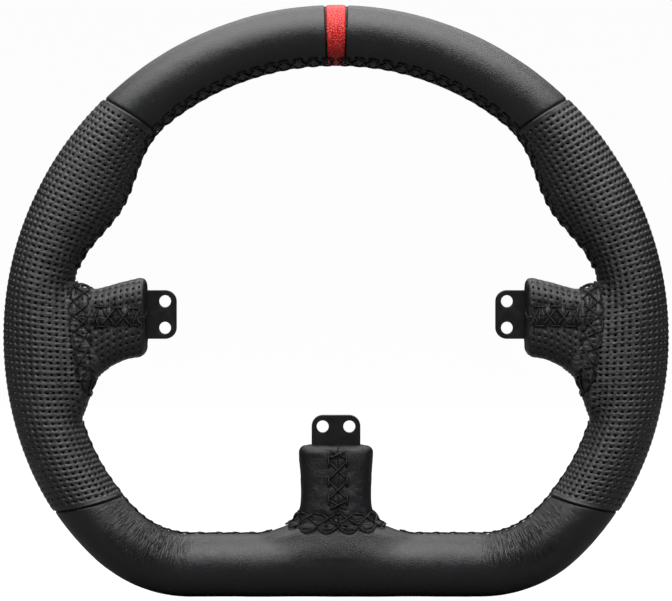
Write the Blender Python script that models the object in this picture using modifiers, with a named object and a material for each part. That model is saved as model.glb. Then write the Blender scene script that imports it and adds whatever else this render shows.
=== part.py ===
"""A D-shaped, leather-wrapped wheel rim for a racing simulator, as separate closed solids.

The rim stands upright in the XZ plane and its front faces -Y. The origin is the hub's centre,
on the back face of the three steel tabs that bolt to a wheel base. A place on the rim is given
by s, the length along its outer edge from 12 o'clock (positive towards +X), and by an angle
round its section: 0 at the outer edge, 90 at the front, 180 at the inner edge, 270 at the back.
A place on a spoke is given by t, the length from its hub end towards the rim.
"""

import math

import bmesh
import bpy
from mathutils import Vector

MM = 0.001

# ---- Driving dimensions, in millimetres and degrees ----
TOP_Z = 139.5  # rim's highest point above the hub's centre
OUTLINE_ARCS = (  # outer edge from 12 o'clock down one side: radius, direction where the arc ends
    (149.7, -22.5),
    (124.0, -46.5),
    (63.5, -90.0),
)
RIM_MID_Y = -1.5
RIM_DEPTH = 31.0
TOP_WIDTH = 27.2
LOWER_WIDTH = 28.7
WIDENING = (95.0, 200.0)  # the stretch of s over which the rim grows from one width to the other
HUMPS = (  # local thickening towards the hub: middle s, reach each way, height
    (153.0, 48.0, 8.4),  # thumb swell
    (245.0, 40.0, 12.5),  # root of the side spoke
    (460.0, 36.0, 6.0),  # root of the bottom spoke
)
LEATHER = 1.2
FOAM_INSET = 2.0  # foam surface below the leather's outer surface
GAP = 0.3
COVER_GAP = 0.5  # between a spoke cover and the rim's leather

STRIPE_HALF = 4.2
JOINT_GAP = 1.6
UPPER_JOINT = (111.5, 4.0)  # middle s, and how far the outer edge runs past the inner edge's mean
LOWER_JOINT = (325.0, -7.0)
SEAM_HALF_ANGLE = 3.0
AROUND = 14  # facets round the rim's section
STATION_TURNS = (5.0, 6.0, 7.25)  # turn between stations on each arc of the outline
FLAT_STEP = 13.0
ROD_STEP = 17.0
SHORTEST_STEP = 3.0

ROD_RADIUS = 5.0
ROD_INSET = 14.0  # rod's middle line below the rim's outer edge
CHANNEL_SIDES = 8

PLATE_THICKNESS = 3.0
TAB_WIDTH = 22.0
TONGUE_WIDTH = 16.0  # the plate's width inside the spoke
SHOULDER = 4.0  # how far the tab's full width runs into the spoke
TONGUE_THINNING = 0.1  # each face of the plate slopes inwards by this from the spoke's mouth to the root
MOUTH_CLEARANCE = 0.5  # the slope starts this far outside the mouth
TAB_CORNER = 4.8
CORNER_STEPS = 4
ROOT_STEPS = 4
HOLE_RADIUS = 2.7
HOLE_SIDES = 20
HOLE_SPACING = 12.0
HOLE_SETBACK = 5.2  # hole's middle to the tab's free end

SIDE_TAB_END = 71.9  # distance from the hub's centre to a side tab's free end
SIDE_SPOKE_END = 85.5
BOTTOM_TAB_END = 45.3
BOTTOM_SPOKE_END = 59.0
SPOKE_EDGE = 3.5  # radius of the rounding at a spoke's hub end
SPOKE_EDGE_STEP = 0.9
SPOKE_POWER = 3.2  # squareness of a spoke's section
SPOKE_AROUND = 16
SPOKE_LENGTH = 50.0
SPOKE_STATIONS = (11.0, 18.0, 23.0, 27.0, 31.0, 36.0, 41.0, SPOKE_LENGTH)
SPOKE_DEPTH = ((0.0, 22.0), (15.0, 23.5), (30.0, 25.5), (42.0, 25.5))
SIDE_UPPER_EDGE = ((0.0, 17.1), (11.0, 14.4), (22.0, 11.6), (30.0, 12.6), (42.0, 13.0))
SIDE_LOWER_EDGE = ((0.0, -18.5), (10.0, -20.5), (19.0, -25.3), (24.0, -31.0), (29.0, -44.0), (42.0, -46.0))
BOTTOM_HALF_WIDTH = ((0.0, 17.0), (22.0, 15.8), (31.0, 17.4), (36.0, 22.0), (40.0, 31.0), (42.0, 33.0))

CUTTER_OVERRUN = 3.0  # how far a cutter runs past the face that it opens
OPENING_START = 12.0  # where a spoke's opening through the rim's leather starts, along the spoke
SEAM_MIDDLE = -1.0  # the seam along a spoke's front, below or left of its middle line
SEAM_HALF_WIDTH = 0.6
SEAM_START = 5.0
SEAM_DEPTH = (-20.0, -8.0)

THREAD_RADIUS = 0.5
THREAD_LIFT = 1.35  # thread's middle line above the leather
JOINT_THREAD_RADIUS = 0.35
JOINT_THREAD_ANGLE = 6.0  # a joint's thread stops this far from the inner seam's middle
STITCH_PITCH = 7.7
STITCH_HALF_WIDTH = 2.4
SPOKE_STITCH_HALF_WIDTH = 4.2
SPOKE_STITCH_PITCH = 5.4
SPOKE_LACING_START = 5.5
SPOKE_LACING_BACK = 9.5  # the lacing stops this far before the rim
ROOT_CORNERS = 22  # corners of the zig-zag round a spoke's root
ROOT_BACK = (2.4, 6.0)  # how far before the rim its corners lie, in turn
ROOT_LIFT = THREAD_LIFT + 0.2
UPPER_LACING = (7.0, 194.0)
LOWER_LACING = (284.0, 418.0)

# ---- Materials: colour, roughness, metallic ----
BLACK_LEATHER = ((0.016, 0.016, 0.018), 0.45, 0.0)
PERFORATED_LEATHER = ((0.012, 0.012, 0.013), 0.55, 0.0)
RED_LEATHER = ((0.55, 0.012, 0.02), 0.45, 0.0)
THREAD = ((0.008, 0.008, 0.009), 0.7, 0.0)
POWDER_COAT = ((0.012, 0.012, 0.012), 0.5, 0.3)
BARE_STEEL = ((0.45, 0.45, 0.46), 0.4, 1.0)
FOAM = ((0.05, 0.05, 0.05), 0.9, 0.0)


def clear_scene():
    for obj in list(bpy.data.objects):
        bpy.data.objects.remove(obj, do_unlink=True)


def new_collection(name):
    collection = bpy.data.collections.new(name)
    bpy.context.scene.collection.children.link(collection)
    return collection


def material(name, look):
    colour, roughness, metallic = look
    made = bpy.data.materials.new(name)
    made.use_nodes = True
    shader = made.node_tree.nodes["Principled BSDF"]
    shader.inputs["Base Color"].default_value = (*colour, 1.0)
    shader.inputs["Roughness"].default_value = roughness
    shader.inputs["Metallic"].default_value = metallic
    return made


def finish_part(obj, look):
    obj.data.materials.append(material(obj.name, look))
    parts.objects.link(obj)
    return obj


def as_cutter(obj):
    cutters.objects.link(obj)
    obj.hide_render = True
    obj.display_type = "WIRE"
    return obj


def combine(obj, other, operation="DIFFERENCE"):
    modifier = obj.modifiers.new(f"{operation.lower()}_{other.name}", "BOOLEAN")
    modifier.operation = operation
    modifier.object = other
    modifier.solver = "EXACT"


# ---- The rim's form ----


def outline_layout():
    """Each arc as (s at its start, centre x, centre z, radius, start direction), and the s where they end."""
    arcs = []
    centre = Vector((0.0, TOP_Z - OUTLINE_ARCS[0][0]))
    last_radius, start, length = OUTLINE_ARCS[0][0], 90.0, 0.0
    for radius, end in OUTLINE_ARCS:
        turn = math.radians(start)
        centre += (last_radius - radius) * Vector((math.cos(turn), math.sin(turn)))
        arcs.append((length, centre.x, centre.y, radius, start))
        length += radius * math.radians(start - end)
        last_radius, start = radius, end
    return arcs, length


ARCS, FLAT_START = outline_layout()
HALF_LENGTH = FLAT_START + ARCS[-1][1]


def outline(s):
    """Point and outward direction of the outer edge at s, in the XZ plane."""
    s = (s + HALF_LENGTH) % (2 * HALF_LENGTH) - HALF_LENGTH
    side, along = (1.0, s) if s >= 0 else (-1.0, -s)
    if along >= FLAT_START:
        _, x, z, radius, _ = ARCS[-1]
        return Vector((side * (x + FLAT_START - along), z - radius)), Vector((0.0, -1.0))
    begin, x, z, radius, start = next(arc for arc in reversed(ARCS) if along >= arc[0])
    turn = math.radians(start) - (along - begin) / radius
    out = Vector((math.cos(turn), math.sin(turn)))
    point = Vector((x, z)) + radius * out
    return Vector((side * point.x, point.y)), Vector((side * out.x, out.y))


def smooth_step(value, low, high):
    share = min(max((value - low) / (high - low), 0.0), 1.0)
    return share * share * (3 - 2 * share)


def rim_width(s):
    along = abs((s + HALF_LENGTH) % (2 * HALF_LENGTH) - HALF_LENGTH)
    width = TOP_WIDTH + (LOWER_WIDTH - TOP_WIDTH) * smooth_step(along, *WIDENING)
    for middle, reach, height in HUMPS:
        share = min(abs(along - middle) / reach, 1.0)
        width += height * math.cos(share * math.pi / 2) ** 2
    return width


def rim_point(s, angle, inset=0.0):
    """A point on the rim's surface, or inset below it, in metres."""
    edge, out = outline(s)
    half_width = rim_width(s) / 2
    turn = math.radians(angle)
    reach = (half_width - inset) * math.cos(turn) - half_width
    y = RIM_MID_Y - (RIM_DEPTH / 2 - inset) * math.sin(turn)
    return Vector((edge.x + reach * out.x, y, edge.y + reach * out.y)) * MM


def inside_rim(point):
    """True for a point, in metres, inside the rim's leather surface."""
    x, y, z = point / MM
    for begin, cx, cz, radius, start in reversed(ARCS):
        turn = math.degrees(math.atan2(z - cz, abs(x) - cx))
        if turn <= start or begin == 0.0:
            break
    along = begin + radius * math.radians(start - turn)
    depth = radius - math.hypot(abs(x) - cx, z - cz)
    if abs(x) < ARCS[-1][1] and z < 0:
        along = HALF_LENGTH - abs(x)
        depth = z - (ARCS[-1][2] - ARCS[-1][3])
    half_width = rim_width(along) / 2
    return ((depth - half_width) / half_width) ** 2 + ((y - RIM_MID_Y) / (RIM_DEPTH / 2)) ** 2 < 1


def even_steps(first, last, step):
    count = max(1, round((last - first) / step))
    return [first + (last - first) * i / count for i in range(count + 1)]


def half_marks():
    """The s of each station from 12 o'clock to 6 o'clock: closer together where the outline bends more."""
    ends = [arc[0] for arc in ARCS[1:]] + [FLAT_START]
    marks = [0.0]
    for (begin, _, _, radius, _), end, turn in zip(ARCS, ends, STATION_TURNS):
        marks += even_steps(begin, end, radius * math.radians(turn))[1:]
    return marks + even_steps(FLAT_START, HALF_LENGTH, FLAT_STEP)[1:]


def stations(first, last):
    """first, the stations between, and last; last may lie past 6 o'clock."""
    half = half_marks()
    marks = [-m for m in reversed(half[1:])] + half + [2 * HALF_LENGTH - m for m in reversed(half[:-1])]
    return [first] + [m for m in marks if first + SHORTEST_STEP < m < last - SHORTEST_STEP] + [last]


# ---- Mesh helpers ----


def face_outwards(shape):
    bmesh.ops.recalc_face_normals(shape, faces=shape.faces)
    if shape.calc_volume(signed=True) < 0:
        bmesh.ops.reverse_faces(shape, faces=shape.faces)


def mesh_object(name, points, faces):
    mesh = bpy.data.meshes.new(name)
    mesh.from_pydata([tuple(p) for p in points], [], faces)
    mesh.validate()
    fix = bmesh.new()
    fix.from_mesh(mesh)
    face_outwards(fix)
    fix.to_mesh(mesh)
    fix.free()
    return bpy.data.objects.new(name, mesh)


def loft(name, rings, closed=False):
    """A solid through rings of equal size, capped at both ends unless it closes on itself."""
    size = len(rings[0])
    points = [p for ring in rings for p in ring]
    spans = len(rings) if closed else len(rings) - 1
    faces = []
    for i in range(spans):
        here, there = i * size, (i + 1) % len(rings) * size
        for j in range(size):
            k = (j + 1) % size
            faces.append((here + j, here + k, there + k, there + j))
    if not closed:
        faces.append(tuple(range(size)))
        faces.append(tuple(range(len(points) - size, len(points))))
    return mesh_object(name, points, faces)


def rim_tube(name, inset):
    """The whole rim as one closed ring, inset below the leather's outer surface."""
    angles = [360.0 * j / AROUND for j in range(AROUND)]
    places = stations(-HALF_LENGTH, HALF_LENGTH)[:-1]
    return loft(name, [[rim_point(s, a, inset) for a in angles] for s in places], closed=True)


def thread_curve(name, points, radius, look, closed=False):
    curve = bpy.data.curves.new(name, "CURVE")
    curve.dimensions = "3D"
    curve.bevel_depth = radius * MM
    curve.bevel_resolution = 2 if radius > THREAD_RADIUS else 0
    curve.use_fill_caps = not closed
    spline = curve.splines.new("POLY")
    spline.points.add(len(points) - 1)
    for spot, p in zip(spline.points, points):
        spot.co = (*p, 1.0)
    spline.use_cyclic_u = closed
    return finish_part(bpy.data.objects.new(name, curve), look)


# ---- Leather panels round the rim ----


def joint_at(joint, angle):
    """The s of a slanting panel joint, at an angle round the section."""
    middle, slant = joint
    return middle + slant * math.cos(math.radians(angle))


def panel(name, start, end, look):
    """A leather strip wrapped round the rim between two joints, open along the inner seam."""
    first, last = 180.0 + SEAM_HALF_ANGLE, 540.0 - SEAM_HALF_ANGLE
    angles = [first + (last - first) * j / AROUND for j in range(AROUND + 1)]
    places = stations(start[0], end[0])
    points, width = [], len(angles)
    for place in places:
        share = (place - start[0]) / (end[0] - start[0])
        for angle in angles:
            low, high = joint_at(start, angle), joint_at(end, angle)
            points.append(rim_point(low + (high - low) * share, angle))
    faces = []
    for i in range(len(places) - 1):
        for j in range(width - 1):
            here = i * width + j
            faces.append((here, here + 1, here + width + 1, here + width))
    obj = mesh_object(name, points, faces)
    outermost = obj.data.polygons[AROUND // 2]
    _, out = outline(start[0])
    if outermost.normal.dot(Vector((out.x, 0.0, out.y))) < 0:
        obj.data.flip_normals()
    wall = obj.modifiers.new("wall", "SOLIDIFY")
    wall.thickness = LEATHER * MM
    wall.offset = -1.0
    wall.use_even_offset = True
    obj.data.shade_smooth()
    return finish_part(obj, look)


def shifted(joint, offset):
    return (joint[0] + offset, joint[1])


def mirrored(joint):
    return (-joint[0], -joint[1])


def build_panels():
    half = JOINT_GAP / 2
    stripe = (STRIPE_HALF + half, 0.0)
    panel("centre_stripe", (-STRIPE_HALF, 0.0), (STRIPE_HALF, 0.0), RED_LEATHER)
    panel("top_right_panel", shifted(stripe, half), shifted(UPPER_JOINT, -half), BLACK_LEATHER)
    panel(
        "top_left_panel",
        mirrored(shifted(UPPER_JOINT, -half)),
        mirrored(shifted(stripe, half)),
        BLACK_LEATHER,
    )
    right = panel("right_grip_panel", shifted(UPPER_JOINT, half), shifted(LOWER_JOINT, -half), PERFORATED_LEATHER)
    left = panel(
        "left_grip_panel",
        mirrored(shifted(LOWER_JOINT, -half)),
        mirrored(shifted(UPPER_JOINT, half)),
        PERFORATED_LEATHER,
    )
    far_side = (2 * HALF_LENGTH - LOWER_JOINT[0] - half, -LOWER_JOINT[1])
    bottom = panel("bottom_panel", shifted(LOWER_JOINT, half), far_side, BLACK_LEATHER)
    for obj, spoke in ((right, "right"), (left, "left"), (bottom, "bottom")):
        combine(obj, as_cutter(spoke_body(f"{spoke}_opening", spoke, LEATHER, start=OPENING_START)))


# ---- Spokes ----


def interpolate(stops, t):
    """A smooth curve through stops of (t, value), with slopes from its neighbours."""
    t = min(max(t, stops[0][0]), stops[-1][0])
    index = max(i for i in range(len(stops) - 1) if t >= stops[i][0])

    def slope(i):
        low, high = max(i - 1, 0), min(i + 1, len(stops) - 1)
        return (stops[high][1] - stops[low][1]) / (stops[high][0] - stops[low][0])

    (t0, v0), (t1, v1) = stops[index], stops[index + 1]
    span = t1 - t0
    u = (t - t0) / span
    rise = (2 * u**3 - 3 * u**2 + 1) * v0 + (3 * u**2 - 2 * u**3) * v1
    return rise + span * ((u**3 - 2 * u**2 + u) * slope(index) + (u**3 - u**2) * slope(index + 1))


def spoke_edges(spoke, t):
    """The two long edges of a spoke's front view, as distances from its middle line."""
    if spoke == "bottom":
        half = interpolate(BOTTOM_HALF_WIDTH, t)
        return half, -half
    return interpolate(SIDE_UPPER_EDGE, t), interpolate(SIDE_LOWER_EDGE, t)


def spoke_place(spoke, t, across, y):
    """A point in metres: t along the spoke, across it (up, or towards +X on the bottom one), and y."""
    if spoke == "bottom":
        return Vector((across, y, -BOTTOM_SPOKE_END - t)) * MM
    side = 1.0 if spoke == "right" else -1.0
    return Vector((side * (SIDE_SPOKE_END + t), y, across)) * MM


def spoke_point(spoke, t, angle, inset=0.0):
    """A point of a spoke's rounded section. Angle 0 is its upper edge, 90 its front."""
    high, low = spoke_edges(spoke, t)
    lost = inset
    if t < SPOKE_EDGE + max(inset, 0.0):
        into = SPOKE_EDGE + max(inset, 0.0) - t
        lost += SPOKE_EDGE - math.sqrt(max(SPOKE_EDGE**2 - into**2, 0.0))
    half_width = (high - low) / 2 - lost
    half_depth = interpolate(SPOKE_DEPTH, t) / 2 - lost
    turn = math.radians(angle)
    across, front = (
        math.copysign(abs(part) ** (2 / SPOKE_POWER), part) for part in (math.cos(turn), math.sin(turn))
    )
    return spoke_place(spoke, t, (high + low) / 2 + half_width * across, RIM_MID_Y - half_depth * front)


def spoke_body(name, spoke, inset, start=None, end=SPOKE_LENGTH):
    """A spoke as a solid loft, inset below its leather's outer surface."""
    first = max(inset, 0.0) if start is None else start
    places = [first, first + SPOKE_EDGE_STEP, first + SPOKE_EDGE]
    places += [t for t in SPOKE_STATIONS if first + SPOKE_EDGE + 1 < t < end]
    places.append(end)
    angles = [360.0 * j / SPOKE_AROUND for j in range(SPOKE_AROUND)]
    return loft(name, [[spoke_point(spoke, t, a, inset) for a in angles] for t in places])


def block(name, spoke, t_span, across_span, y_span):
    """A box placed in a spoke's own directions."""
    ends = [
        [spoke_place(spoke, t, across_span[i], y_span[k]) for i, k in ((0, 0), (1, 0), (1, 1), (0, 1))]
        for t in t_span
    ]
    return loft(name, ends)


def plate_slot(name, spoke, t_span, width):
    reach = width / 2 + GAP
    return block(name, spoke, t_span, (-reach, reach), (-PLATE_THICKNESS - GAP, GAP))


def build_spoke_covers(rim_cutter):
    looks = {"left": PERFORATED_LEATHER, "right": PERFORATED_LEATHER, "bottom": BLACK_LEATHER}
    for spoke, look in looks.items():
        cover = spoke_body(f"{spoke}_spoke_cover", spoke, 0.0)
        hollow = spoke_body(f"{spoke}_hollow", spoke, LEATHER, end=SPOKE_LENGTH + CUTTER_OVERRUN)
        combine(cover, as_cutter(hollow))
        mouth = plate_slot(f"{spoke}_mouth", spoke, (-CUTTER_OVERRUN, SHOULDER), TAB_WIDTH)
        combine(cover, as_cutter(mouth))
        across = (SEAM_MIDDLE - SEAM_HALF_WIDTH, SEAM_MIDDLE + SEAM_HALF_WIDTH)
        seam = block(f"{spoke}_seam", spoke, (SEAM_START, SPOKE_LENGTH), across, SEAM_DEPTH)
        combine(cover, as_cutter(seam))
        combine(cover, rim_cutter)
        cover.data.shade_smooth()
        finish_part(cover, look)


# ---- Frame: rod, plates and foam ----


def rod_line():
    line = []
    for s in even_steps(-HALF_LENGTH, HALF_LENGTH, ROD_STEP)[:-1]:
        edge, out = outline(s)
        spot = edge - ROD_INSET * out
        line.append(Vector((spot.x, RIM_MID_Y, spot.y)) * MM)
    return line


def build_armature():
    return thread_curve("rim_armature", rod_line(), ROD_RADIUS, BARE_STEEL, closed=True)


def rod_channel():
    """The room that the foam leaves for the rod."""
    line = rod_line()
    rings = []
    for i, spot in enumerate(line):
        along = (line[(i + 1) % len(line)] - line[i - 1]).normalized()
        out = Vector((0.0, 1.0, 0.0)).cross(along)
        radius = (ROD_RADIUS + 2 * GAP) * MM
        turns = [2 * math.pi * j / CHANNEL_SIDES for j in range(CHANNEL_SIDES)]
        rings.append([spot + radius * (math.cos(a) * out + math.sin(a) * Vector((0, 1, 0))) for a in turns])
    return loft("rod_channel", rings, closed=True)


def build_foam():
    foam = rim_tube("foam_core", FOAM_INSET)
    for spoke in ("left", "right", "bottom"):
        combine(foam, as_cutter(spoke_body(f"{spoke}_spoke_foam", spoke, FOAM_INSET)), "UNION")
    combine(foam, as_cutter(rod_channel()))
    for spoke in ("left", "right", "bottom"):
        wide = plate_slot(f"{spoke}_pocket", spoke, (-CUTTER_OVERRUN, SHOULDER + GAP), TAB_WIDTH)
        deep = plate_slot(f"{spoke}_slot", spoke, (0.0, rod_distance(spoke, 0.0) + ROD_RADIUS), TONGUE_WIDTH)
        combine(foam, as_cutter(wide))
        combine(foam, as_cutter(deep))
    foam.data.shade_smooth()
    return finish_part(foam, FOAM)


def rod_distance(spoke, across):
    """How far along a spoke the rod's near side lies, at a height across the spoke."""
    if spoke == "bottom":
        bottom_z = ARCS[-1][2] - ARCS[-1][3]
        return -bottom_z - ROD_INSET - ROD_RADIUS - BOTTOM_SPOKE_END
    _, cx, cz, radius, _ = ARCS[0]
    reach = radius - ROD_INSET - ROD_RADIUS
    return cx + math.sqrt(reach**2 - (across - cz) ** 2) - SIDE_SPOKE_END


def arc_points(centre, radius, first, last, count):
    turns = [math.radians(first + (last - first) * i / count) for i in range(count + 1)]
    return [(centre[0] + radius * math.cos(a), centre[1] + radius * math.sin(a)) for a in turns]


def plate_outline(spoke, tab_end, spoke_end):
    """Outline in (distance from the hub's centre, across): round tab corners, and a root that meets the rod."""
    half, corner = TAB_WIDTH / 2, TAB_CORNER
    points = arc_points((tab_end + corner, half - corner), corner, 90.0, 180.0, CORNER_STEPS)
    points += arc_points((tab_end + corner, corner - half), corner, 180.0, 270.0, CORNER_STEPS)
    points.append((spoke_end + SHOULDER, -half))
    points.append((spoke_end + SHOULDER, -TONGUE_WIDTH / 2))
    for i in range(ROOT_STEPS + 1):
        across = -TONGUE_WIDTH / 2 + TONGUE_WIDTH * i / ROOT_STEPS
        points.append((spoke_end + rod_distance(spoke, across) - 2 * GAP, across))
    points.append((spoke_end + SHOULDER, TONGUE_WIDTH / 2))
    points.append((spoke_end + SHOULDER, half))
    return points


def plate_loops(spoke, tab_end, spoke_end):
    """The plate's outline and its two screw holes, as closed loops."""
    loops = [plate_outline(spoke, tab_end, spoke_end)]
    for sign in (-1, 1):
        centre = (tab_end + HOLE_SETBACK, sign * HOLE_SPACING / 2)
        loops.append(arc_points(centre, HOLE_RADIUS, 0.0, 360.0, HOLE_SIDES)[:-1])
    return loops


def flat_shape(name, loops, thickness):
    """A bmesh of a flat plate with the given outline and holes, centred on the XY plane."""
    curve = bpy.data.curves.new(name, "CURVE")
    curve.dimensions = "2D"
    curve.fill_mode = "BOTH"
    curve.extrude = thickness / 2 * MM
    for loop in loops:
        spline = curve.splines.new("POLY")
        spline.points.add(len(loop) - 1)
        for spot, (along, across) in zip(spline.points, loop):
            spot.co = (along * MM, across * MM, 0.0, 1.0)
        spline.use_cyclic_u = True
    flat = bpy.data.objects.new(name, curve)
    parts.objects.link(flat)
    bpy.context.view_layer.update()
    mesh = bpy.data.meshes.new_from_object(flat.evaluated_get(bpy.context.evaluated_depsgraph_get()))
    bpy.data.objects.remove(flat, do_unlink=True)
    shape = bmesh.new()
    shape.from_mesh(mesh)
    bmesh.ops.remove_doubles(shape, verts=shape.verts, dist=0.001 * MM)
    return shape


def build_plate(spoke, tab_end, spoke_end):
    """A steel plate: the flat bare tab with its two holes, and the tongue that thins inside the spoke."""
    shape = flat_shape(f"{spoke}_flat", plate_loops(spoke, tab_end, spoke_end), PLATE_THICKNESS)
    mouth = spoke_end - MOUTH_CLEARANCE
    everything = shape.verts[:] + shape.edges[:] + shape.faces[:]
    cut_at, cut_across = Vector((mouth * MM, 0.0, 0.0)), Vector((1.0, 0.0, 0.0))
    bmesh.ops.bisect_plane(shape, geom=everything, plane_co=cut_at, plane_no=cut_across)
    root = max(vert.co.x for vert in shape.verts) / MM
    for vert in shape.verts:
        along, across, rise = vert.co / MM
        lost = TONGUE_THINNING * max(along - mouth, 0.0) / (root - mouth)
        y = rise - math.copysign(lost, rise) - PLATE_THICKNESS / 2
        vert.co = spoke_place(spoke, along - spoke_end, across, y)
    face_outwards(shape)
    mesh = bpy.data.meshes.new(f"{spoke}_mount_plate")
    shape.to_mesh(mesh)
    shape.free()
    return finish_part(bpy.data.objects.new(f"{spoke}_mount_plate", mesh), POWDER_COAT)


def build_plates():
    build_plate("left", SIDE_TAB_END, SIDE_SPOKE_END)
    build_plate("right", SIDE_TAB_END, SIDE_SPOKE_END)
    build_plate("bottom", BOTTOM_TAB_END, BOTTOM_SPOKE_END)


# ---- Threads ----


def rim_lacing(name, first, last, side):
    """Thread that crosses the rim's inner seam from edge to edge."""
    count = 2 * round((last - first) / STITCH_PITCH)
    points = []
    for i in range(count + 1):
        s = side * (first + (last - first) * i / count)
        swing = math.degrees(STITCH_HALF_WIDTH / (RIM_DEPTH / 2)) * (1 if i % 2 else -1)
        points.append(rim_point(s, 180.0 + swing, -THREAD_LIFT))
    return thread_curve(name, points, THREAD_RADIUS, THREAD)


def joint_thread(name, joint):
    """Thread sunk in the groove between two panels."""
    first, last = 180.0 + JOINT_THREAD_ANGLE, 540.0 - JOINT_THREAD_ANGLE
    angles = [first + (last - first) * j / AROUND for j in range(AROUND + 1)]
    points = [rim_point(joint_at(joint, a), a, LEATHER / 2) for a in angles]
    return thread_curve(name, points, JOINT_THREAD_RADIUS, THREAD)


def junction(spoke, angle):
    """The t at which a line along a spoke's surface runs into the rim."""
    low, high = SPOKE_EDGE, SPOKE_LENGTH
    while high - low > 0.01:
        middle = (low + high) / 2
        if inside_rim(spoke_point(spoke, middle, angle)):
            high = middle
        else:
            low = middle
    return low


def spoke_lacing(spoke):
    """Cross stitching along the front of a spoke."""
    first, last = SPOKE_LACING_START, junction(spoke, 90.0) - SPOKE_LACING_BACK
    count = 2 * max(1, round((last - first) / SPOKE_STITCH_PITCH))
    points = []
    for i in range(count + 1):
        t = first + (last - first) * i / count
        swing = SPOKE_STITCH_HALF_WIDTH * (1 if i % 2 else -1)
        depth = interpolate(SPOKE_DEPTH, t) / 2 + THREAD_LIFT
        points.append(spoke_place(spoke, t, SEAM_MIDDLE + swing, RIM_MID_Y - depth))
    return thread_curve(f"{spoke}_spoke_lacing", points, THREAD_RADIUS, THREAD)


def above_spoke(spoke, t, angle, lift):
    """The point a given height above a spoke's surface, square to it."""
    here = spoke_point(spoke, t, angle)
    along = spoke_point(spoke, t + 0.2, angle) - here
    round_it = spoke_point(spoke, t, angle + 1.0) - here
    square = along.cross(round_it).normalized()
    middle = spoke_place(spoke, t, sum(spoke_edges(spoke, t)) / 2, RIM_MID_Y)
    if square.dot(here - middle) < 0:
        square = -square
    return here + lift * MM * square


def root_lacing(spoke):
    """Stitching round a spoke's root, where its cover meets the rim's leather."""
    points = []
    for i in range(ROOT_CORNERS):
        angle = 360.0 * i / ROOT_CORNERS
        back = ROOT_BACK[i % 2]
        points.append(above_spoke(spoke, junction(spoke, angle) - back, angle, ROOT_LIFT))
    return thread_curve(f"{spoke}_root_lacing", points, THREAD_RADIUS, THREAD, closed=True)


def build_threads():
    stripe = (STRIPE_HALF + JOINT_GAP / 2, 0.0)
    for side, word in ((1, "right"), (-1, "left")):
        rim_lacing(f"upper_{word}_lacing", *UPPER_LACING, side)
        rim_lacing(f"lower_{word}_lacing", *LOWER_LACING, side)
        for name, joint in (("stripe", stripe), ("upper", UPPER_JOINT), ("lower", LOWER_JOINT)):
            place = joint if side > 0 else mirrored(joint)
            full = f"stripe_{word}_seam" if name == "stripe" else f"{name}_{word}_seam"
            joint_thread(full, place)
    for spoke in ("left", "right", "bottom"):
        spoke_lacing(spoke)
        root_lacing(spoke)


clear_scene()
parts = new_collection("racing_wheel")
cutters = new_collection("cutters")
build_armature()
build_plates()
build_foam()
build_panels()
build_spoke_covers(as_cutter(rim_tube("rim_outside", -COVER_GAP)))
build_threads()
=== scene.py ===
"""The looks of a leather-wrapped racing wheel rim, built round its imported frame.

The rim stands in the XZ plane and its front faces -Y. A place on it is given by s, the length
along its outer edge from 12 o'clock (positive towards +X), and by an angle round its section:
0 at the outer edge, 90 at the front, 180 at the inner edge. A place on a spoke is given by t,
the length from its hub end towards the rim. Lengths are in millimetres until a mesh is made.
"""

import math

import bmesh
import bpy
import numpy as np
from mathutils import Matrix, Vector
from mathutils.kdtree import KDTree


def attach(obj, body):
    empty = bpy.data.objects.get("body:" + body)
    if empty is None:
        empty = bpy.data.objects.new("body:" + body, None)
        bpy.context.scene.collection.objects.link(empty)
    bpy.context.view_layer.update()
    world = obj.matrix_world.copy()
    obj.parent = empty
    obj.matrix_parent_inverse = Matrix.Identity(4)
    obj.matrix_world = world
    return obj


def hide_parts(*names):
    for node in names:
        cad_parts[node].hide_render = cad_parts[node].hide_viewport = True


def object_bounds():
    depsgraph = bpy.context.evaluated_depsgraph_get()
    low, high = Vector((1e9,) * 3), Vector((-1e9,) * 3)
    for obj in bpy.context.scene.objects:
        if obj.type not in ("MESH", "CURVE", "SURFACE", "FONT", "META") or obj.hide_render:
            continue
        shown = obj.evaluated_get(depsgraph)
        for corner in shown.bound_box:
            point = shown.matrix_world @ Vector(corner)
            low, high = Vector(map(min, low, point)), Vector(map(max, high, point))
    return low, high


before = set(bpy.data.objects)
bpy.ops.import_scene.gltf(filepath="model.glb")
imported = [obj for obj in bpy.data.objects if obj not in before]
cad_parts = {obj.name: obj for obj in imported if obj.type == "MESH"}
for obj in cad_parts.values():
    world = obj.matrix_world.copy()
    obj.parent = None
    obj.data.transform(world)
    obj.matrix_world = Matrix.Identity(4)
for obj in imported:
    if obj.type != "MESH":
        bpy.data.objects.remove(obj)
CAD_LOW, CAD_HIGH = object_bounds()

MM = 0.001


def per_spoke(sides, bottom):
    """A value for the two side spokes, and one for the bottom spoke."""
    return {"left": sides, "right": sides, "bottom": bottom}


# ---- The rim's form, as the frame has it ----
TOP_Z = 139.5
OUTLINE_ARCS = ((149.7, -22.5), (124.0, -46.5), (63.5, -90.0))  # radius, direction where it ends
RIM_MID_Y = -1.5
RIM_DEPTH = 31.0
TOP_WIDTH = 27.2
LOWER_WIDTH = 28.7
WIDENING = (95.0, 200.0)
HUMPS = ((153.0, 48.0, 8.4), (245.0, 40.0, 12.5), (460.0, 36.0, 6.0))  # middle s, reach, height
LEATHER = 1.2
LINING_ROOM = 0.25  # the leather's back lies this much deeper, clear of its turned edges

STRIPE_HALF = 4.55
JOINT_GAP = 0.6
UPPER_JOINT = (111.5, 4.0)  # middle s, and how far the outer edge runs past it
LOWER_JOINT = (325.0, -7.0)
STRIPE_JOINT = (STRIPE_HALF + JOINT_GAP / 2, 0.0)

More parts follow.
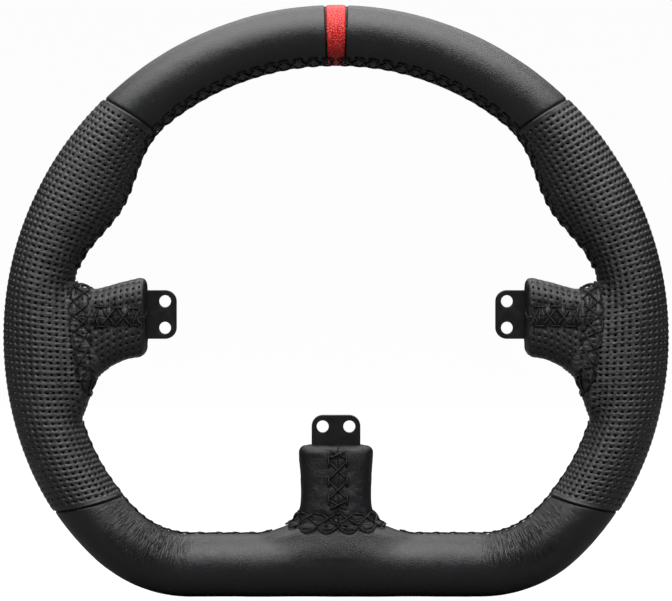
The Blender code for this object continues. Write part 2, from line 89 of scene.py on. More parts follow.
# ---- The spokes and their steel tabs ----
PLATE_THICKNESS = 3.0
TAB_WIDTH = 22.0
TAB_CORNER = 4.8
HOLE_RADIUS = 2.7
HOLE_SPACING = 12.0
HOLE_SETBACK = 5.2
PLATE_BEVEL = 0.3
CORNER_SPOTS = 13
HOLE_SPOTS = 40
WELD = 0.002  # points nearer to each other than this are joined
SHARP = 50.0  # edges that turn more than this stay sharp
PLATE_INSIDE = 12.0  # how far the shown plate runs into the spoke
TAB_END = per_spoke(71.9, 45.3)  # from the wheel's middle
SPOKE_END = per_spoke(85.5, 59.0)
SPOKE_EDGE = 3.5
SPOKE_POWER = 3.2
FRONT_SHARE = 0.99  # of the half width counts as front
SPOKE_DEPTH = ((0.0, 22.0), (15.0, 23.5), (30.0, 25.5), (42.0, 25.5))
SIDE_UPPER_EDGE = ((0.0, 17.1), (11.0, 14.4), (22.0, 11.6), (30.0, 12.6), (42.0, 13.0))
SIDE_LOWER_EDGE = ((0.0, -18.5), (10.0, -20.5), (19.0, -25.3), (24.0, -31.0), (29.0, -44.0), (42.0, -46.0))
BOTTOM_HALF_WIDTH = ((0.0, 17.0), (22.0, 15.8), (31.0, 17.4), (36.0, 22.0), (40.0, 31.0), (42.0, 33.0))
SPOKE_SEAM = per_spoke(-1.0, 0.9)  # the front seam, from the middle line
PUNCHED = per_spoke(True, False)  # whether a spoke's leather is perforated
BLEND = 5.0  # radius of the hollow where a spoke runs into the rim
SPOKE_REACH = 47.0  # a spoke ends inside the rim

# ---- Reckoning with the form ----
LEAST_LEVEL = 0.05  # a section's level is taken no nearer its middle than this
LEAST_POWER = 1e-4
SLOPE_STEP = 0.05
LEAST_SLOPE = 0.1
LONGEST_MOVE = 2.0
JUNCTION_ROUNDS = 14
MARCH_EVENING = 0.15  # share of each neighbour in a marching point's place
MARCH_TURNING = 0.6  # share of the last step in a marching point's new heading

# ---- Leather ----
EDGE_RADIUS = 0.8  # the turned edge of a panel
EDGE_STEPS = 5
SEAM_RADIUS = 0.3  # the edges that are laced together
SEAM_GAP = 0.04  # half the gap between them
HOLE_PITCH_ALONG = 3.0
HOLE_PITCH_ROUND = 3.15
SQUEEZED_STEP = 0.12  # between the lines of columns that a narrow place leaves no room for
PUNCH_RADIUS = 0.58
COVER_PUNCH_RADIUS = 0.47
PUNCH_RINGS = ((1.0, 0.34, 0.03), (1.0, 0.0, 0.24), (0.85, 0.0, 0.95))  # share of radius, lip, depth
PUNCH_STRETCH = (0.9, 1.2)  # along the rim, and round its section
PUNCH_UNEVEN = (0.05, 0.06)  # of a hole's size, and of its place in millimetres
PUNCH_MARGIN = 2.3  # leather without holes along a panel's edge
SMALLEST_CELL = 2.25
SMOOTH_STEP = 0.75
GRIP_LIFT = 0.4  # perforated leather is thicker than the smooth leather beside it
BOTTOM_LIFT = -0.15
STRIPE_LIFT = 0.12
RIM_SECTION_STEPS = 360

# Layers of unevenness: height, size along, size round (in degrees on the rim), seed
SMOOTH_WAVES = ((0.09, 17.0, 35.0, 0), (0.04, 6.0, 16.0, 2), (0.02, 1.9, 7.5, 3))
PUNCHED_WAVES = ((0.08, 19.0, 33.0, 5),)
RIB_WAVES = ((0.5, 7.0, 20.0, 6),)
COVER_WAVES = ((0.16, 5.0, 6.0, 8), (0.09, 1.7, 2.3, 9))
SEAM_DRIFT = ((0.5, 3.4, 1.0, 11),)
PUCKER_WAVES = ((0.5, 2.3, 2.0, 0),)
PUCKER_REACH = 2.6
UPPER_GATHERING = (205.0, 48.0)  # middle s and reach
LOWER_GATHERING = (290.0, 30.0)
LOWER_GATHERED = 0.6
GRIP_FOLDING = (215.0, 60.0)
BEND_FOLDING = (359.0, 20.0)
PUNCHED_FOLDS = (0.08, 0.7)  # everywhere, and at most where the leather is gathered
RIB_HEIGHT = 0.1
GATHERED_RIBS = 0.07
RIBS_INWARD, GRIP_FOLDS_INWARD, BEND_FOLDS_INWARD = 0.5, 0.45, 0.35  # how gently they fade outwards
NEAR_OUTSIDE = 1.5
NEAR_INSIDE = 2.0
RIM_PUCKER = (0.12, 0.04)  # of smooth and of perforated leather

# ---- Stitching ----
STITCH_PITCH = 7.7
DASH_LENGTH = 5.8
THREAD_RADIUS = 0.42
ROW_OFFSET = 4.3  # each row of stitches from the seam's middle
SEAM_ANGLES = (
    (0.0, 161.0), (60.0, 156.0), (98.0, 161.0), (125.0, 175.0), (196.0, 177.0), (283.0, 199.0), (460.0, 200.0)
)
UPPER_LACING = (1.0, 196.0)
LOWER_LACING = (283.0, 431.0)
ROOT_PITCH = per_spoke(7.4, 9.2)
STRAY = per_spoke(2.6, 1.5)  # how unevenly a spoke is sewn, against the rim
PRESS_DEPTH = 0.4  # how far the threads press into the leather
PRESS_REACH = 0.95
SLACK = per_spoke(0.15, 4.0)  # how high a thread stands off the hollow at a root
DIVE = -0.2  # where a taut thread's ends go into the leather
THREAD_SIDES = 7
THREAD_TIP = 0.55  # a thread's ends are drawn in to this share of its radius
STRAND_SPREAD = 0.6  # the lower, the flatter the middle of a strand
DASH_LIFTS = (-0.5, 0.1)
CROSS_LIFTS = (0.2, 0.6)
CROSS_REACH = 0.42  # share of a step
CROSS_INSET = 0.4  # a crossing strand's ends lie this far inside the dashes
DASH_STRAYS = (0.15, 0.1)  # along and across the seam
CROSS_STRAY = 0.2
GRIP_THREAD_LIFT = 0.7 * GRIP_LIFT
SPOKE_LACING_START = 2.0
SPOKE_LACING_END = -1.0  # past the root's row of dashes
SPOKE_ROW_OFFSET = 4.1
ROOT_THREAD_RADIUS = 0.38
ROOT_DASH_REACH = 0.25  # shares of a step
ROOT_CROSS_START = 0.22
ROOT_CROSS_PAST = 0.3
ROOT_DASH_LIFTS = (-0.35, 0.3)
ROOT_CROSS_LIFTS = (0.05, 0.55)
ROOT_LOOP_LIFTS = (0.15, 0.25)
ROOT_LOOP_SPREAD = 0.8
ROOT_LOOP_SPOTS = 15
ROOT_SINKING = (-0.6, 0.2)  # distances before the cover's edge over which its lift fades
ROOT_STRAYS = (0.1, 0.15)
JOINT_THREAD_RADIUS = 0.34
JOINT_THREAD_LIFT = -0.85
JOINT_THREAD_END = 177.0
JOINT_THREAD_SPOTS = 112
JOINT_BUMP = 0.06
JOINT_BUMP_TURN = 2.1
JOINT_RISE = 0.55  # at the inner seam, over a reach in degrees
JOINT_RISE_REACH = 16.0
SEED = 7


# ---- Plain numerical helpers ----


def smooth_step(value, low, high):
    share = np.clip((value - low) / (high - low), 0.0, 1.0)
    return share * share * (3 - 2 * share)


def interpolate(stops, t):
    """A smooth curve through stops of (t, value), with slopes from its neighbours."""
    at, value = np.array(stops, float).T
    last = len(at) - 1
    low, high = np.maximum(np.arange(last + 1) - 1, 0), np.minimum(np.arange(last + 1) + 1, last)
    slope = (value[high] - value[low]) / (at[high] - at[low])
    t = np.clip(t, at[0], at[-1])
    i = np.clip(np.searchsorted(at, t, side="right") - 1, 0, last - 1)
    span = at[i + 1] - at[i]
    u = (t - at[i]) / span
    rise = (2 * u**3 - 3 * u**2 + 1) * value[i] + (3 * u**2 - 2 * u**3) * value[i + 1]
    return rise + span * ((u**3 - 2 * u**2 + u) * slope[i] + (u**3 - u**2) * slope[i + 1])


def unit(vectors):
    return vectors / np.maximum(np.linalg.norm(vectors, axis=-1, keepdims=True), 1e-9)


def signed_power(value, power):
    return np.sign(value) * np.abs(value) ** power


def lattice(ix, iy, seed):
    """A repeatable random number from 0 to 1 for each whole-numbered place."""
    mixed = np.sin(ix * 127.1 + iy * 311.7 + seed * 74.7) * 43758.5453
    return mixed - np.floor(mixed)


def noise(x, y, seed=SEED):
    """Smooth noise from -1 to 1, one unit between its independent values."""
    ix, iy = np.floor(x), np.floor(y)
    fx, fy = smooth_step(x - ix, 0, 1), smooth_step(y - iy, 0, 1)
    low = lattice(ix, iy, seed) * (1 - fx) + lattice(ix + 1, iy, seed) * fx
    high = lattice(ix, iy + 1, seed) * (1 - fx) + lattice(ix + 1, iy + 1, seed) * fx
    return 2 * (low * (1 - fy) + high * fy) - 1


def uneven(x, y, layers):
    """Noise added up in layers of (height, size along x, size along y, seed)."""
    return sum(height * noise(x / long, y / wide, SEED + seed) for height, long, wide, seed in layers)


def bell(value, middle, reach):
    """1 at the middle, fading away beyond its reach."""
    return np.exp(-(((value - middle) / reach) ** 2))


def lengths_along(points, axis=0):
    """The length run from the first point to each point, along one axis of a grid."""
    steps = np.linalg.norm(np.diff(points, axis=axis), axis=-1)
    return np.insert(np.cumsum(steps, axis=axis), 0, 0.0, axis=axis)


# ---- The rim's form ----


def outline_layout():
    """Each arc as (s at its start, centre x, centre z, radius, start direction), and where they end."""
    arcs, centre = [], np.array([0.0, TOP_Z - OUTLINE_ARCS[0][0]])
    last_radius, start, length = OUTLINE_ARCS[0][0], 90.0, 0.0
    for radius, end in OUTLINE_ARCS:
        turn = math.radians(start)
        centre = centre + (last_radius - radius) * np.array([math.cos(turn), math.sin(turn)])
        arcs.append((length, centre[0], centre[1], radius, start))
        length += radius * math.radians(start - end)
        last_radius, start = radius, end
    return arcs, length


ARCS, FLAT_START = outline_layout()
HALF_LENGTH = FLAT_START + ARCS[-1][1]
BOTTOM_Z = ARCS[-1][2] - ARCS[-1][3]


def wrapped(s):
    return (s + HALF_LENGTH) % (2 * HALF_LENGTH) - HALF_LENGTH


def outline(s):
    """x and z of the outer edge at s, and x and z of its outward direction."""
    s = wrapped(np.asarray(s, float))
    side, along = np.where(s >= 0, 1.0, -1.0), np.abs(s)
    x, z, out_x, out_z = (np.zeros_like(along) for _ in range(4))
    for begin, cx, cz, radius, start in ARCS:
        here = along >= begin
        turn = math.radians(start) - (along - begin) / radius
        out_x, out_z = np.where(here, np.cos(turn), out_x), np.where(here, np.sin(turn), out_z)
        x, z = np.where(here, cx + radius * out_x, x), np.where(here, cz + radius * out_z, z)
    flat = along >= FLAT_START
    x = np.where(flat, ARCS[-1][1] + FLAT_START - along, x)
    z = np.where(flat, BOTTOM_Z, z)
    out_x, out_z = np.where(flat, 0.0, out_x), np.where(flat, -1.0, out_z)
    return side * x, z, side * out_x, out_z


def rim_width(s):
    along = np.abs(wrapped(np.asarray(s, float)))
    width = TOP_WIDTH + (LOWER_WIDTH - TOP_WIDTH) * smooth_step(along, *WIDENING)
    for middle, reach, height in HUMPS:
        share = np.minimum(np.abs(along - middle) / reach, 1.0)
        width = width + height * np.cos(share * np.pi / 2) ** 2
    return width


def rim_point(s, angle, lift=0.0):
    """Points a given height above the rim's surface."""
    x, z, out_x, out_z = outline(s)
    wide, deep = rim_width(s) / 2, RIM_DEPTH / 2
    turn = np.radians(angle)
    normal = unit(np.stack(np.broadcast_arrays(np.cos(turn) / wide, np.sin(turn) / deep), -1))
    reach = wide * (np.cos(turn) - 1) + lift * normal[..., 0]
    y = RIM_MID_Y - deep * np.sin(turn) - lift * normal[..., 1]
    return np.stack(np.broadcast_arrays(x + reach * out_x, y, z + reach * out_z), -1)


def rim_place(p):
    """For any points: s without its sign, and the distances in front of and outside the rim's middle."""
    x, y, z = np.abs(p[..., 0]), p[..., 1], p[..., 2]
    along, depth = np.zeros_like(x), np.zeros_like(x)
    for begin, cx, cz, radius, start in ARCS:
        turn = np.degrees(np.arctan2(z - cz, x - cx))
        here = (turn <= start) | (begin == 0.0)
        along = np.where(here, begin + radius * np.radians(start - turn), along)
        depth = np.where(here, radius - np.hypot(x - cx, z - cz), depth)
    flat = (x < ARCS[-1][1]) & (z < 0)
    along = np.where(flat, HALF_LENGTH - x, along)
    depth = np.where(flat, z - BOTTOM_Z, depth)
    return along, RIM_MID_Y - y, depth - rim_width(along) / 2


def rim_field(p):
    """About how far each point lies outside the rim's surface."""
    along, front, across = rim_place(p)
    level = np.sqrt((across / (rim_width(along) / 2)) ** 2 + (front / (RIM_DEPTH / 2)) ** 2)
    return np.hypot(across, front) * (1 - 1 / np.maximum(level, LEAST_LEVEL))


# ---- The spokes' form ----


def spoke_edges(spoke, t):
    if spoke == "bottom":
        half = interpolate(BOTTOM_HALF_WIDTH, t)
        return half, -half
    return interpolate(SIDE_UPPER_EDGE, t), interpolate(SIDE_LOWER_EDGE, t)


def spoke_place(spoke, t, across, y):
    """The point at t, a distance from the spoke's middle line, and y."""
    t, across, y = np.broadcast_arrays(t, across, y)
    if spoke == "bottom":
        return np.stack([across, y, -SPOKE_END[spoke] - t], -1)
    side = 1.0 if spoke == "right" else -1.0
    return np.stack([side * (SPOKE_END[spoke] + t), y, across], -1)


def along_and_across(spoke, p):
    """t, and the distance from the spoke's middle line, of any points."""
    if spoke == "bottom":
        return -p[..., 2] - SPOKE_END[spoke], p[..., 0]
    return np.abs(p[..., 0]) - SPOKE_END[spoke], p[..., 2]


def sideways(spoke):
    """The direction across a spoke."""
    return spoke_place(spoke, 0.0, 1.0, 0.0) - spoke_place(spoke, 0.0, 0.0, 0.0)


def spoke_sizes(spoke, t):
    """Middle, half width and half depth of the section at t."""
    high, low = spoke_edges(spoke, t)
    return (high + low) / 2, (high - low) / 2, interpolate(SPOKE_DEPTH, t) / 2


def spoke_point(spoke, t, angle, inset=0.0):
    middle, wide, deep = spoke_sizes(spoke, t)
    turn = np.radians(angle)
    across = (wide - inset) * signed_power(np.cos(turn), 2 / SPOKE_POWER)
    front = (deep - inset) * signed_power(np.sin(turn), 2 / SPOKE_POWER)
    return spoke_place(spoke, t, middle + across, RIM_MID_Y - front)


def spoke_front(spoke, t, across):
    """The point on a spoke's front at a distance from its middle line."""
    middle, wide, deep = spoke_sizes(spoke, t)
    share = np.clip(np.abs((across - middle) / wide), 0.0, FRONT_SHARE) ** SPOKE_POWER
    return spoke_place(spoke, t, across, RIM_MID_Y - deep * (1 - share) ** (1 / SPOKE_POWER))


def spoke_field(spoke, p):
    """About how far each point lies outside a spoke's surface."""
    t, across = along_and_across(spoke, p)
    middle, wide, deep = spoke_sizes(spoke, t)
    across, front = across - middle, p[..., 1] - RIM_MID_Y
    level = np.abs(across / wide) ** SPOKE_POWER + np.abs(front / deep) ** SPOKE_POWER
    level = np.maximum(level, LEAST_POWER) ** (1 / SPOKE_POWER)
    return np.maximum(np.hypot(across, front) * (1 - 1 / np.maximum(level, LEAST_LEVEL)), t - SPOKE_REACH)


def joined_field(spoke, p):
    """The rim and a spoke as one smooth body with a hollow between them."""
    rim, arm = rim_field(p), spoke_field(spoke, p)
    near = np.maximum(BLEND - np.abs(rim - arm), 0.0) / BLEND
    return np.minimum(rim, arm) - near**2 * BLEND / 4


def field_slope(spoke, p):
    parts = []
    for step in SLOPE_STEP * np.eye(3):
        parts.append((joined_field(spoke, p + step) - joined_field(spoke, p - step)) / (2 * SLOPE_STEP))
    return np.stack(parts, -1)


def settle(spoke, p, level=0.0, rounds=5):
    """Moves points square to the joined surface until they lie at a height above it."""
    p = np.array(p, float)
    for _ in range(rounds):
        slope = field_slope(spoke, p)
        size = np.maximum((slope**2).sum(-1, keepdims=True), LEAST_SLOPE)
        move = (joined_field(spoke, p) - level)[..., None] * slope / size
        length = np.maximum(np.linalg.norm(move, axis=-1, keepdims=True), 1e-9)
        p -= move * np.minimum(1.0, LONGEST_MOVE / length)
    return p


def junction(spoke, angle):
    """The t at which a line along a spoke's surface runs into the rim."""
    low = np.full_like(angle, SPOKE_EDGE)
    high = np.full_like(angle, SPOKE_DEPTH[-1][0])
    for _ in range(JUNCTION_ROUNDS):
        middle = (low + high) / 2
        inside = rim_field(spoke_point(spoke, middle, angle)) < 0
        high, low = np.where(inside, middle, high), np.where(inside, low, middle)
    return low


# ---- Meshes ----


def linked(name, data):
    """A new object in the scene."""
    made = bpy.data.objects.new(name, data)
    bpy.context.scene.collection.objects.link(made)
    return made


def mesh_object(name, points, faces, marks=None):
    """A mesh from points in millimetres and faces; marks gives each face its material's number."""
    mesh = bpy.data.meshes.new(name)
    mesh.from_pydata((points * MM).tolist(), [], faces)
    if marks is not None:
        mesh.polygons.foreach_set("material_index", marks)
    mesh.shade_smooth()
    mesh.update()
    return linked(name, mesh)


def finish(made, node, slot, *looks):
    """Gives a piece its materials and its body, and hides the frame node that it stands for; its slot is not
    used.
    """
    for look in looks:
        made.data.materials.append(look)
    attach(made, "root")
    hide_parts(node)
    return made


def store(made, name, values):
    """Stores a number or a vector for each point of a piece, for its material."""
    kind, key = ("FLOAT_VECTOR", "vector") if values.ndim > 1 else ("FLOAT", "value")
    field = made.data.attributes.new(name, kind, "POINT")
    field.data.foreach_set(key, values.astype(np.float32).ravel())


def outward(points, faces):
    """True if the faces of a closed mesh point out of it."""
    total = 0.0
    for size in sorted({len(face) for face in faces}):
        ring = points[np.array([face for face in faces if len(face) == size])]
        for i in range(1, size - 1):
            total += np.einsum("ij,ij->i", ring[:, 0], np.cross(ring[:, i], ring[:, i + 1])).sum()
    return total > 0


def grid_normals(p, inner):
    """Unit normals of a grid of points, on the side away from the inner points."""
    along, round_it = np.gradient(p, axis=0), np.gradient(p, axis=1)
    normal = unit(np.cross(along, round_it))
    if ((p - inner) * normal).sum() < 0:
        normal = -normal
    return normal


RING_TURNS = np.radians(-135.0 + 45.0 * np.arange(8))
RIM_OF_CELL = ((0, 0), (1, 0), (2, 0), (2, 1), (2, 2), (1, 2), (0, 2), (0, 1))


def cell_weights(a):
    """Shares of a cell's three lines in a point between them; a runs from -1 to 1."""
    return (a * (a - 1) / 2, 1 - a * a, a * (a + 1) / 2)


def punched_ring(patch, slopes, radius, lift, shift):
    """Eight points round each cell's hole, from the cell's nine points."""
    long_size = np.linalg.norm(patch[:, 2, 1] - patch[:, 0, 1], axis=-1) / 2
    round_size = np.linalg.norm(patch[:, 1, 2] - patch[:, 1, 0], axis=-1) / 2
    long, wide = (stretch * radius[:, None] for stretch in PUNCH_STRETCH)
    a = (long * np.cos(RING_TURNS) + shift[:, :1]) / long_size[:, None]
    b = (wide * np.sin(RING_TURNS) + shift[:, 1:]) / round_size[:, None]
    spot, square = 0.0, 0.0
    for i, wa in enumerate(cell_weights(a)):
        for j, wb in enumerate(cell_weights(b)):
            weight = (wa * wb)[..., None]
            spot = spot + weight * patch[:, None, i, j]
            square = square + weight * slopes[:, None, i, j]
    return spot + lift * unit(square)


def wall_faces(keep, outer, inner):
    """Faces that join the outer and inner sheets round every open edge of the kept quads."""
    padded = np.pad(keep, 1)
    walls = []
    for corner_a, corner_b, beside in (
        ((1, 0), (0, 0), padded[1:-1, :-2]),
        ((1, 1), (1, 0), padded[2:, 1:-1]),
        ((0, 1), (1, 1), padded[1:-1, 2:]),
        ((0, 0), (0, 1), padded[:-2, 1:-1]),
    ):
        i, j = np.nonzero(keep & ~beside)
        a, b = (i + corner_a[0], j + corner_a[1]), (i + corner_b[0], j + corner_b[1])
        walls.append(np.stack([outer[a], outer[b], inner[b], inner[a]], -1))
    return np.concatenate(walls)


def shell(name, outer, inner, keep, cells=None, hole=PUNCH_RADIUS):
    """A closed leather shell between two grids of points; cells are the corners of punched cells."""
    size = outer.shape[:2]
    outside = np.arange(size[0] * size[1]).reshape(size)
    inside = outside + outside.size
    plain = keep.copy()
    points = [outer.reshape(-1, 3), inner.reshape(-1, 3)]
    faces, marks = [], []
    if cells is not None and len(cells):
        for di in range(2):
            for dj in range(2):
                plain[cells[:, 0] + di, cells[:, 1] + dj] = False
        made, ring_faces, floors = punched_cells(outer, inner, outside, cells, hole)
        points.append(made)
        faces += ring_faces.tolist() + floors.tolist()
        # The holes' floors take the second material, a near-black painted shade.
        marks += [0] * len(ring_faces) + [1] * len(floors)
    i, j = np.nonzero(plain)
    sheet = np.stack([outside[i, j], outside[i + 1, j], outside[i + 1, j + 1], outside[i, j + 1]], -1)
    i, j = np.nonzero(keep)
    lining = np.stack([inside[i, j], inside[i, j + 1], inside[i + 1, j + 1], inside[i + 1, j]], -1)
    walls = wall_faces(keep, outside, inside)
    for group in (sheet, lining, walls):
        faces += group.tolist()
        marks += [0] * len(group)
    points = np.concatenate(points)
    number = np.full(len(points), -1)
    used = np.unique([v for face in faces for v in face])
    number[used] = np.arange(len(used))
    faces = [tuple(number[list(face)].tolist()) for face in faces]
    points = points[used]
    if not outward(points, faces):
        faces = [face[::-1] for face in faces]
    return mesh_object(name, points, faces, marks)


def punched_cells(outer, inner, outside, cells, hole):
    """The points and faces of the punched holes; their numbers follow those of both sheets."""
    normals = grid_normals(outer, inner)
    i, j = cells[:, 0, None, None] + np.arange(3)[None, :, None], cells[:, 1, None, None] + np.arange(3)
    patch, slopes = outer[i, j], normals[i, j]
    chance = np.random.default_rng(SEED)
    size = 1 + chance.normal(0.0, PUNCH_UNEVEN[0], len(cells))
    shift = chance.normal(0.0, PUNCH_UNEVEN[1], (len(cells), 2))
    rings = []
    for share, lip, depth in PUNCH_RINGS:
        rings.append(punched_ring(patch, slopes, (share * hole + lip) * size, -depth, shift))
    sides = len(RIM_OF_CELL)
    base = 2 * outside.size + len(rings) * sides * np.arange(len(cells))[:, None]
    loops = [np.stack([outside[cells[:, 0] + a, cells[:, 1] + b] for a, b in RIM_OF_CELL], -1)]
    loops += [base + sides * k + np.arange(sides) for k in range(len(rings))]
    faces = []
    for wide, narrow in zip(loops, loops[1:]):
        for k in range(sides):
            n = (k + 1) % sides
            faces.append(np.stack([wide[:, k], wide[:, n], narrow[:, n], narrow[:, k]], -1))
    return np.stack(rings, 1).reshape(-1, 3), np.concatenate(faces), loops[-1]


# ---- Leather grids ----


def edge_lines(radius=EDGE_RADIUS):
    """Distances from a turned edge, close together where it curves most."""
    turns = np.radians(90.0 * np.arange(EDGE_STEPS) / EDGE_STEPS)
    return radius * (1 - np.cos(turns))


def edge_drop(distance, radius=EDGE_RADIUS):
    """How far the leather's surface falls at a distance from its turned edge."""
    short = np.clip(radius - distance, 0.0, radius)
    return np.sqrt(radius**2 - short**2) - radius


def edged(middle, length, radius=EDGE_RADIUS):
    """Lines across a piece of leather: those of its two turned edges, and those between them."""
    edge = edge_lines(radius)
    return np.concatenate([edge, middle, length - edge[::-1]])


def plain_lines(length):
    """Distances across a piece of smooth leather, from edge to edge."""
    count = max(2, round((length - 2 * EDGE_RADIUS) / SMOOTH_STEP))
    return edged(np.linspace(EDGE_RADIUS, length - EDGE_RADIUS, count + 1), length)


def punched_lines(length):
    """Distances along perforated leather, with two lines a cell."""
    count = round((length - 2 * PUNCH_MARGIN) / HOLE_PITCH_ALONG)
    middle = np.linspace(PUNCH_MARGIN, length - PUNCH_MARGIN, 2 * count + 1)
    return edged([EDGE_RADIUS, *middle, length - EDGE_RADIUS], length)


def squeezed(anchor, count, margin):
    """Lines half a hole's pitch apart, up to an anchor, squeezed together where they reach a margin."""
    back = np.arange(count, 0, -1)
    return np.maximum(anchor - back * HOLE_PITCH_ROUND / 2, margin + (count - back) * SQUEEZED_STEP)


def fixed_lines(length, anchor, before, after):
    """Distances across perforated leather whose columns keep their pitch on both sides of an anchor."""
    low = squeezed(anchor, before, PUNCH_MARGIN)
    high = length - squeezed(length - anchor, after, PUNCH_MARGIN)[::-1]
    return edged([SEAM_RADIUS, *low, anchor, *high, length - SEAM_RADIUS], length, SEAM_RADIUS)


def seam_to_seam(length, steps):
    """Distances across smooth leather from one laced edge to the other."""
    return edged(np.linspace(SEAM_RADIUS, length - SEAM_RADIUS, steps), length, SEAM_RADIUS)


def seam_angle(s):
    return interpolate(SEAM_ANGLES, np.abs(wrapped(s)))


def joint_at(joint, angle):
    """The s of a slanting joint between panels, at an angle round the section."""
    middle, slant = joint
    return middle + slant * np.cos(np.radians(angle))


def shifted(joint, offset):
    return (joint[0] + offset, joint[1])


def mirrored(joint):
    return (-joint[0], -joint[1])


def rim_section(s):
    """Angles from one edge of the rim's leather round to the other, and the length run at each."""
    gap = math.degrees(SEAM_GAP / (RIM_DEPTH / 2))
    first, last = seam_angle(s) - gap, seam_angle(s) - 360.0 + gap
    angles = first + (last - first) * np.linspace(0.0, 1.0, RIM_SECTION_STEPS + 1)
    return angles, lengths_along(rim_point(s, angles))


def rim_grid(start, end, punched):
    """s, angle, and distances from the nearest end and seam edge, over a panel between two joints."""
    length = end[0] - start[0]
    along = punched_lines(length) if punched else plain_lines(length)
    sections = [rim_section(s) for s in start[0] + along]
    outer_edges = [np.interp(0.0, -angles, run) for angles, run in sections]
    widest = [max(outer_edges), max(run[-1] - edge for (_, run), edge in zip(sections, outer_edges))]
    before, after = (2 * int((w - PUNCH_MARGIN) / HOLE_PITCH_ROUND) for w in widest)
    steps = len(plain_lines(sections[len(sections) // 2][1][-1])) - 2 * EDGE_STEPS
    rows, gaps = [], []
    for (angles, run), edge in zip(sections, outer_edges):
        lines = fixed_lines(run[-1], edge, before, after) if punched else seam_to_seam(run[-1], steps)
        rows.append(np.interp(lines, run, angles))
        gaps.append(np.minimum(lines, run[-1] - lines))
    angle, side_gap = np.array(rows), np.array(gaps)
    low, high = joint_at(start, angle), joint_at(end, angle)
    s = low + (high - low) * (along / length)[:, None]
    end_gap = np.minimum(along, length - along)[:, None] + np.zeros_like(angle)
    return s, angle, end_gap, side_gap


def pucker(s, distance, amount):
    """Leather drawn down at each stitch along a seam and bulging between them."""
    wave = np.cos(2 * np.pi * s / STITCH_PITCH) + uneven(s, distance, PUCKER_WAVES)
    return amount * bell(distance, ROW_OFFSET, PUCKER_REACH) * (wave - 1.0)


def pressed(points):
    """How far the threads press into the leather at each point."""
    flat = points.reshape(-1, 3)
    gap = np.array([THREAD_TREE.find(p)[2] for p in flat.tolist()]).reshape(points.shape[:-1])
    return PRESS_DEPTH * bell(gap, 0.0, PRESS_REACH)


def inward(angle, reach):
    """0 on the rim's outer side and 1 on its inner side."""
    return smooth_step(-np.cos(np.radians(angle)), -reach, reach)


def punched_relief(s, angle, rows):
    """Ribs between the rows of holes, strongest where the leather is gathered towards a spoke."""
    along = np.abs(wrapped(s))
    gathered = bell(along, *UPPER_GATHERING) + LOWER_GATHERED * bell(along, *LOWER_GATHERING)
    ribs = np.where(rows % 2 == 0, 1.0, -1.0)[:, None]
    height = RIB_HEIGHT + GATHERED_RIBS * gathered * inward(angle, RIBS_INWARD)
    return uneven(s, angle, PUNCHED_WAVES) + ribs * height * (1 + uneven(s, angle, RIB_WAVES))


def rim_lay(points, start, end):
    """Length along the rim, length round its section, and the number of the row of holes."""
    along, front, across = rim_place(points)
    angle = np.degrees(np.arctan2(front, -across))
    low, high = joint_at(start, angle), joint_at(end, angle)
    s = np.where(points[:, 0] < 0, -along, along)
    row = ((s - low) / (high - low) * (end[0] - start[0]) - PUNCH_MARGIN) / HOLE_PITCH_ALONG
    return np.stack([s, np.radians(angle) * RIM_DEPTH / 2, row], -1)


def spoke_lay(points, spoke):
    """Length along a spoke, length across it, and the number of the row of holes."""
    t, across = along_and_across(spoke, points)
    return np.stack([t, across, (t - COVER_FIRST) / COVER_PITCH], -1)


def mesh_points(made):
    points = np.empty(3 * len(made.data.vertices))
    made.data.vertices.foreach_get("co", points)
    return points.reshape(-1, 3) / MM


def near_spoke(spoke, p):
    """Where the rim's surface may be hollowed towards a spoke."""
    reach = spoke_field(spoke, p)
    return (reach < BLEND + NEAR_OUTSIDE) & (reach > -COVERED_DEPTH[spoke] - NEAR_INSIDE)


def punched_starts(outer, keep, first_row, first_column, last_row):
    """Corners of the cells that are kept and large enough for a hole."""
    rows = np.arange(first_row, last_row - 2, 2)
    columns = np.arange(first_column, outer.shape[1] - first_column - 2, 2)
    i, j = (grid.ravel() for grid in np.meshgrid(rows, columns, indexing="ij"))
    long_size = np.linalg.norm(outer[i + 2, j + 1] - outer[i, j + 1], axis=-1)
    round_size = np.linalg.norm(outer[i + 1, j + 2] - outer[i + 1, j], axis=-1)
    good = (long_size > SMALLEST_CELL) & (round_size > SMALLEST_CELL)
    good &= keep[i, j] & keep[i + 1, j] & keep[i, j + 1] & keep[i + 1, j + 1]
    return np.stack([i[good], j[good]], -1)


def finish_leather(made, lay, gathered, node, slot, look):
    """Finishes a leather piece, with its lay and how strongly it is gathered at each point."""
    store(made, "lay", lay)
    store(made, "gathered", gathered)
    # The second material is the near-black painted shade on the holes' floors.
    finish(made, node, slot, look, PAINTED_SHADE_PIT)


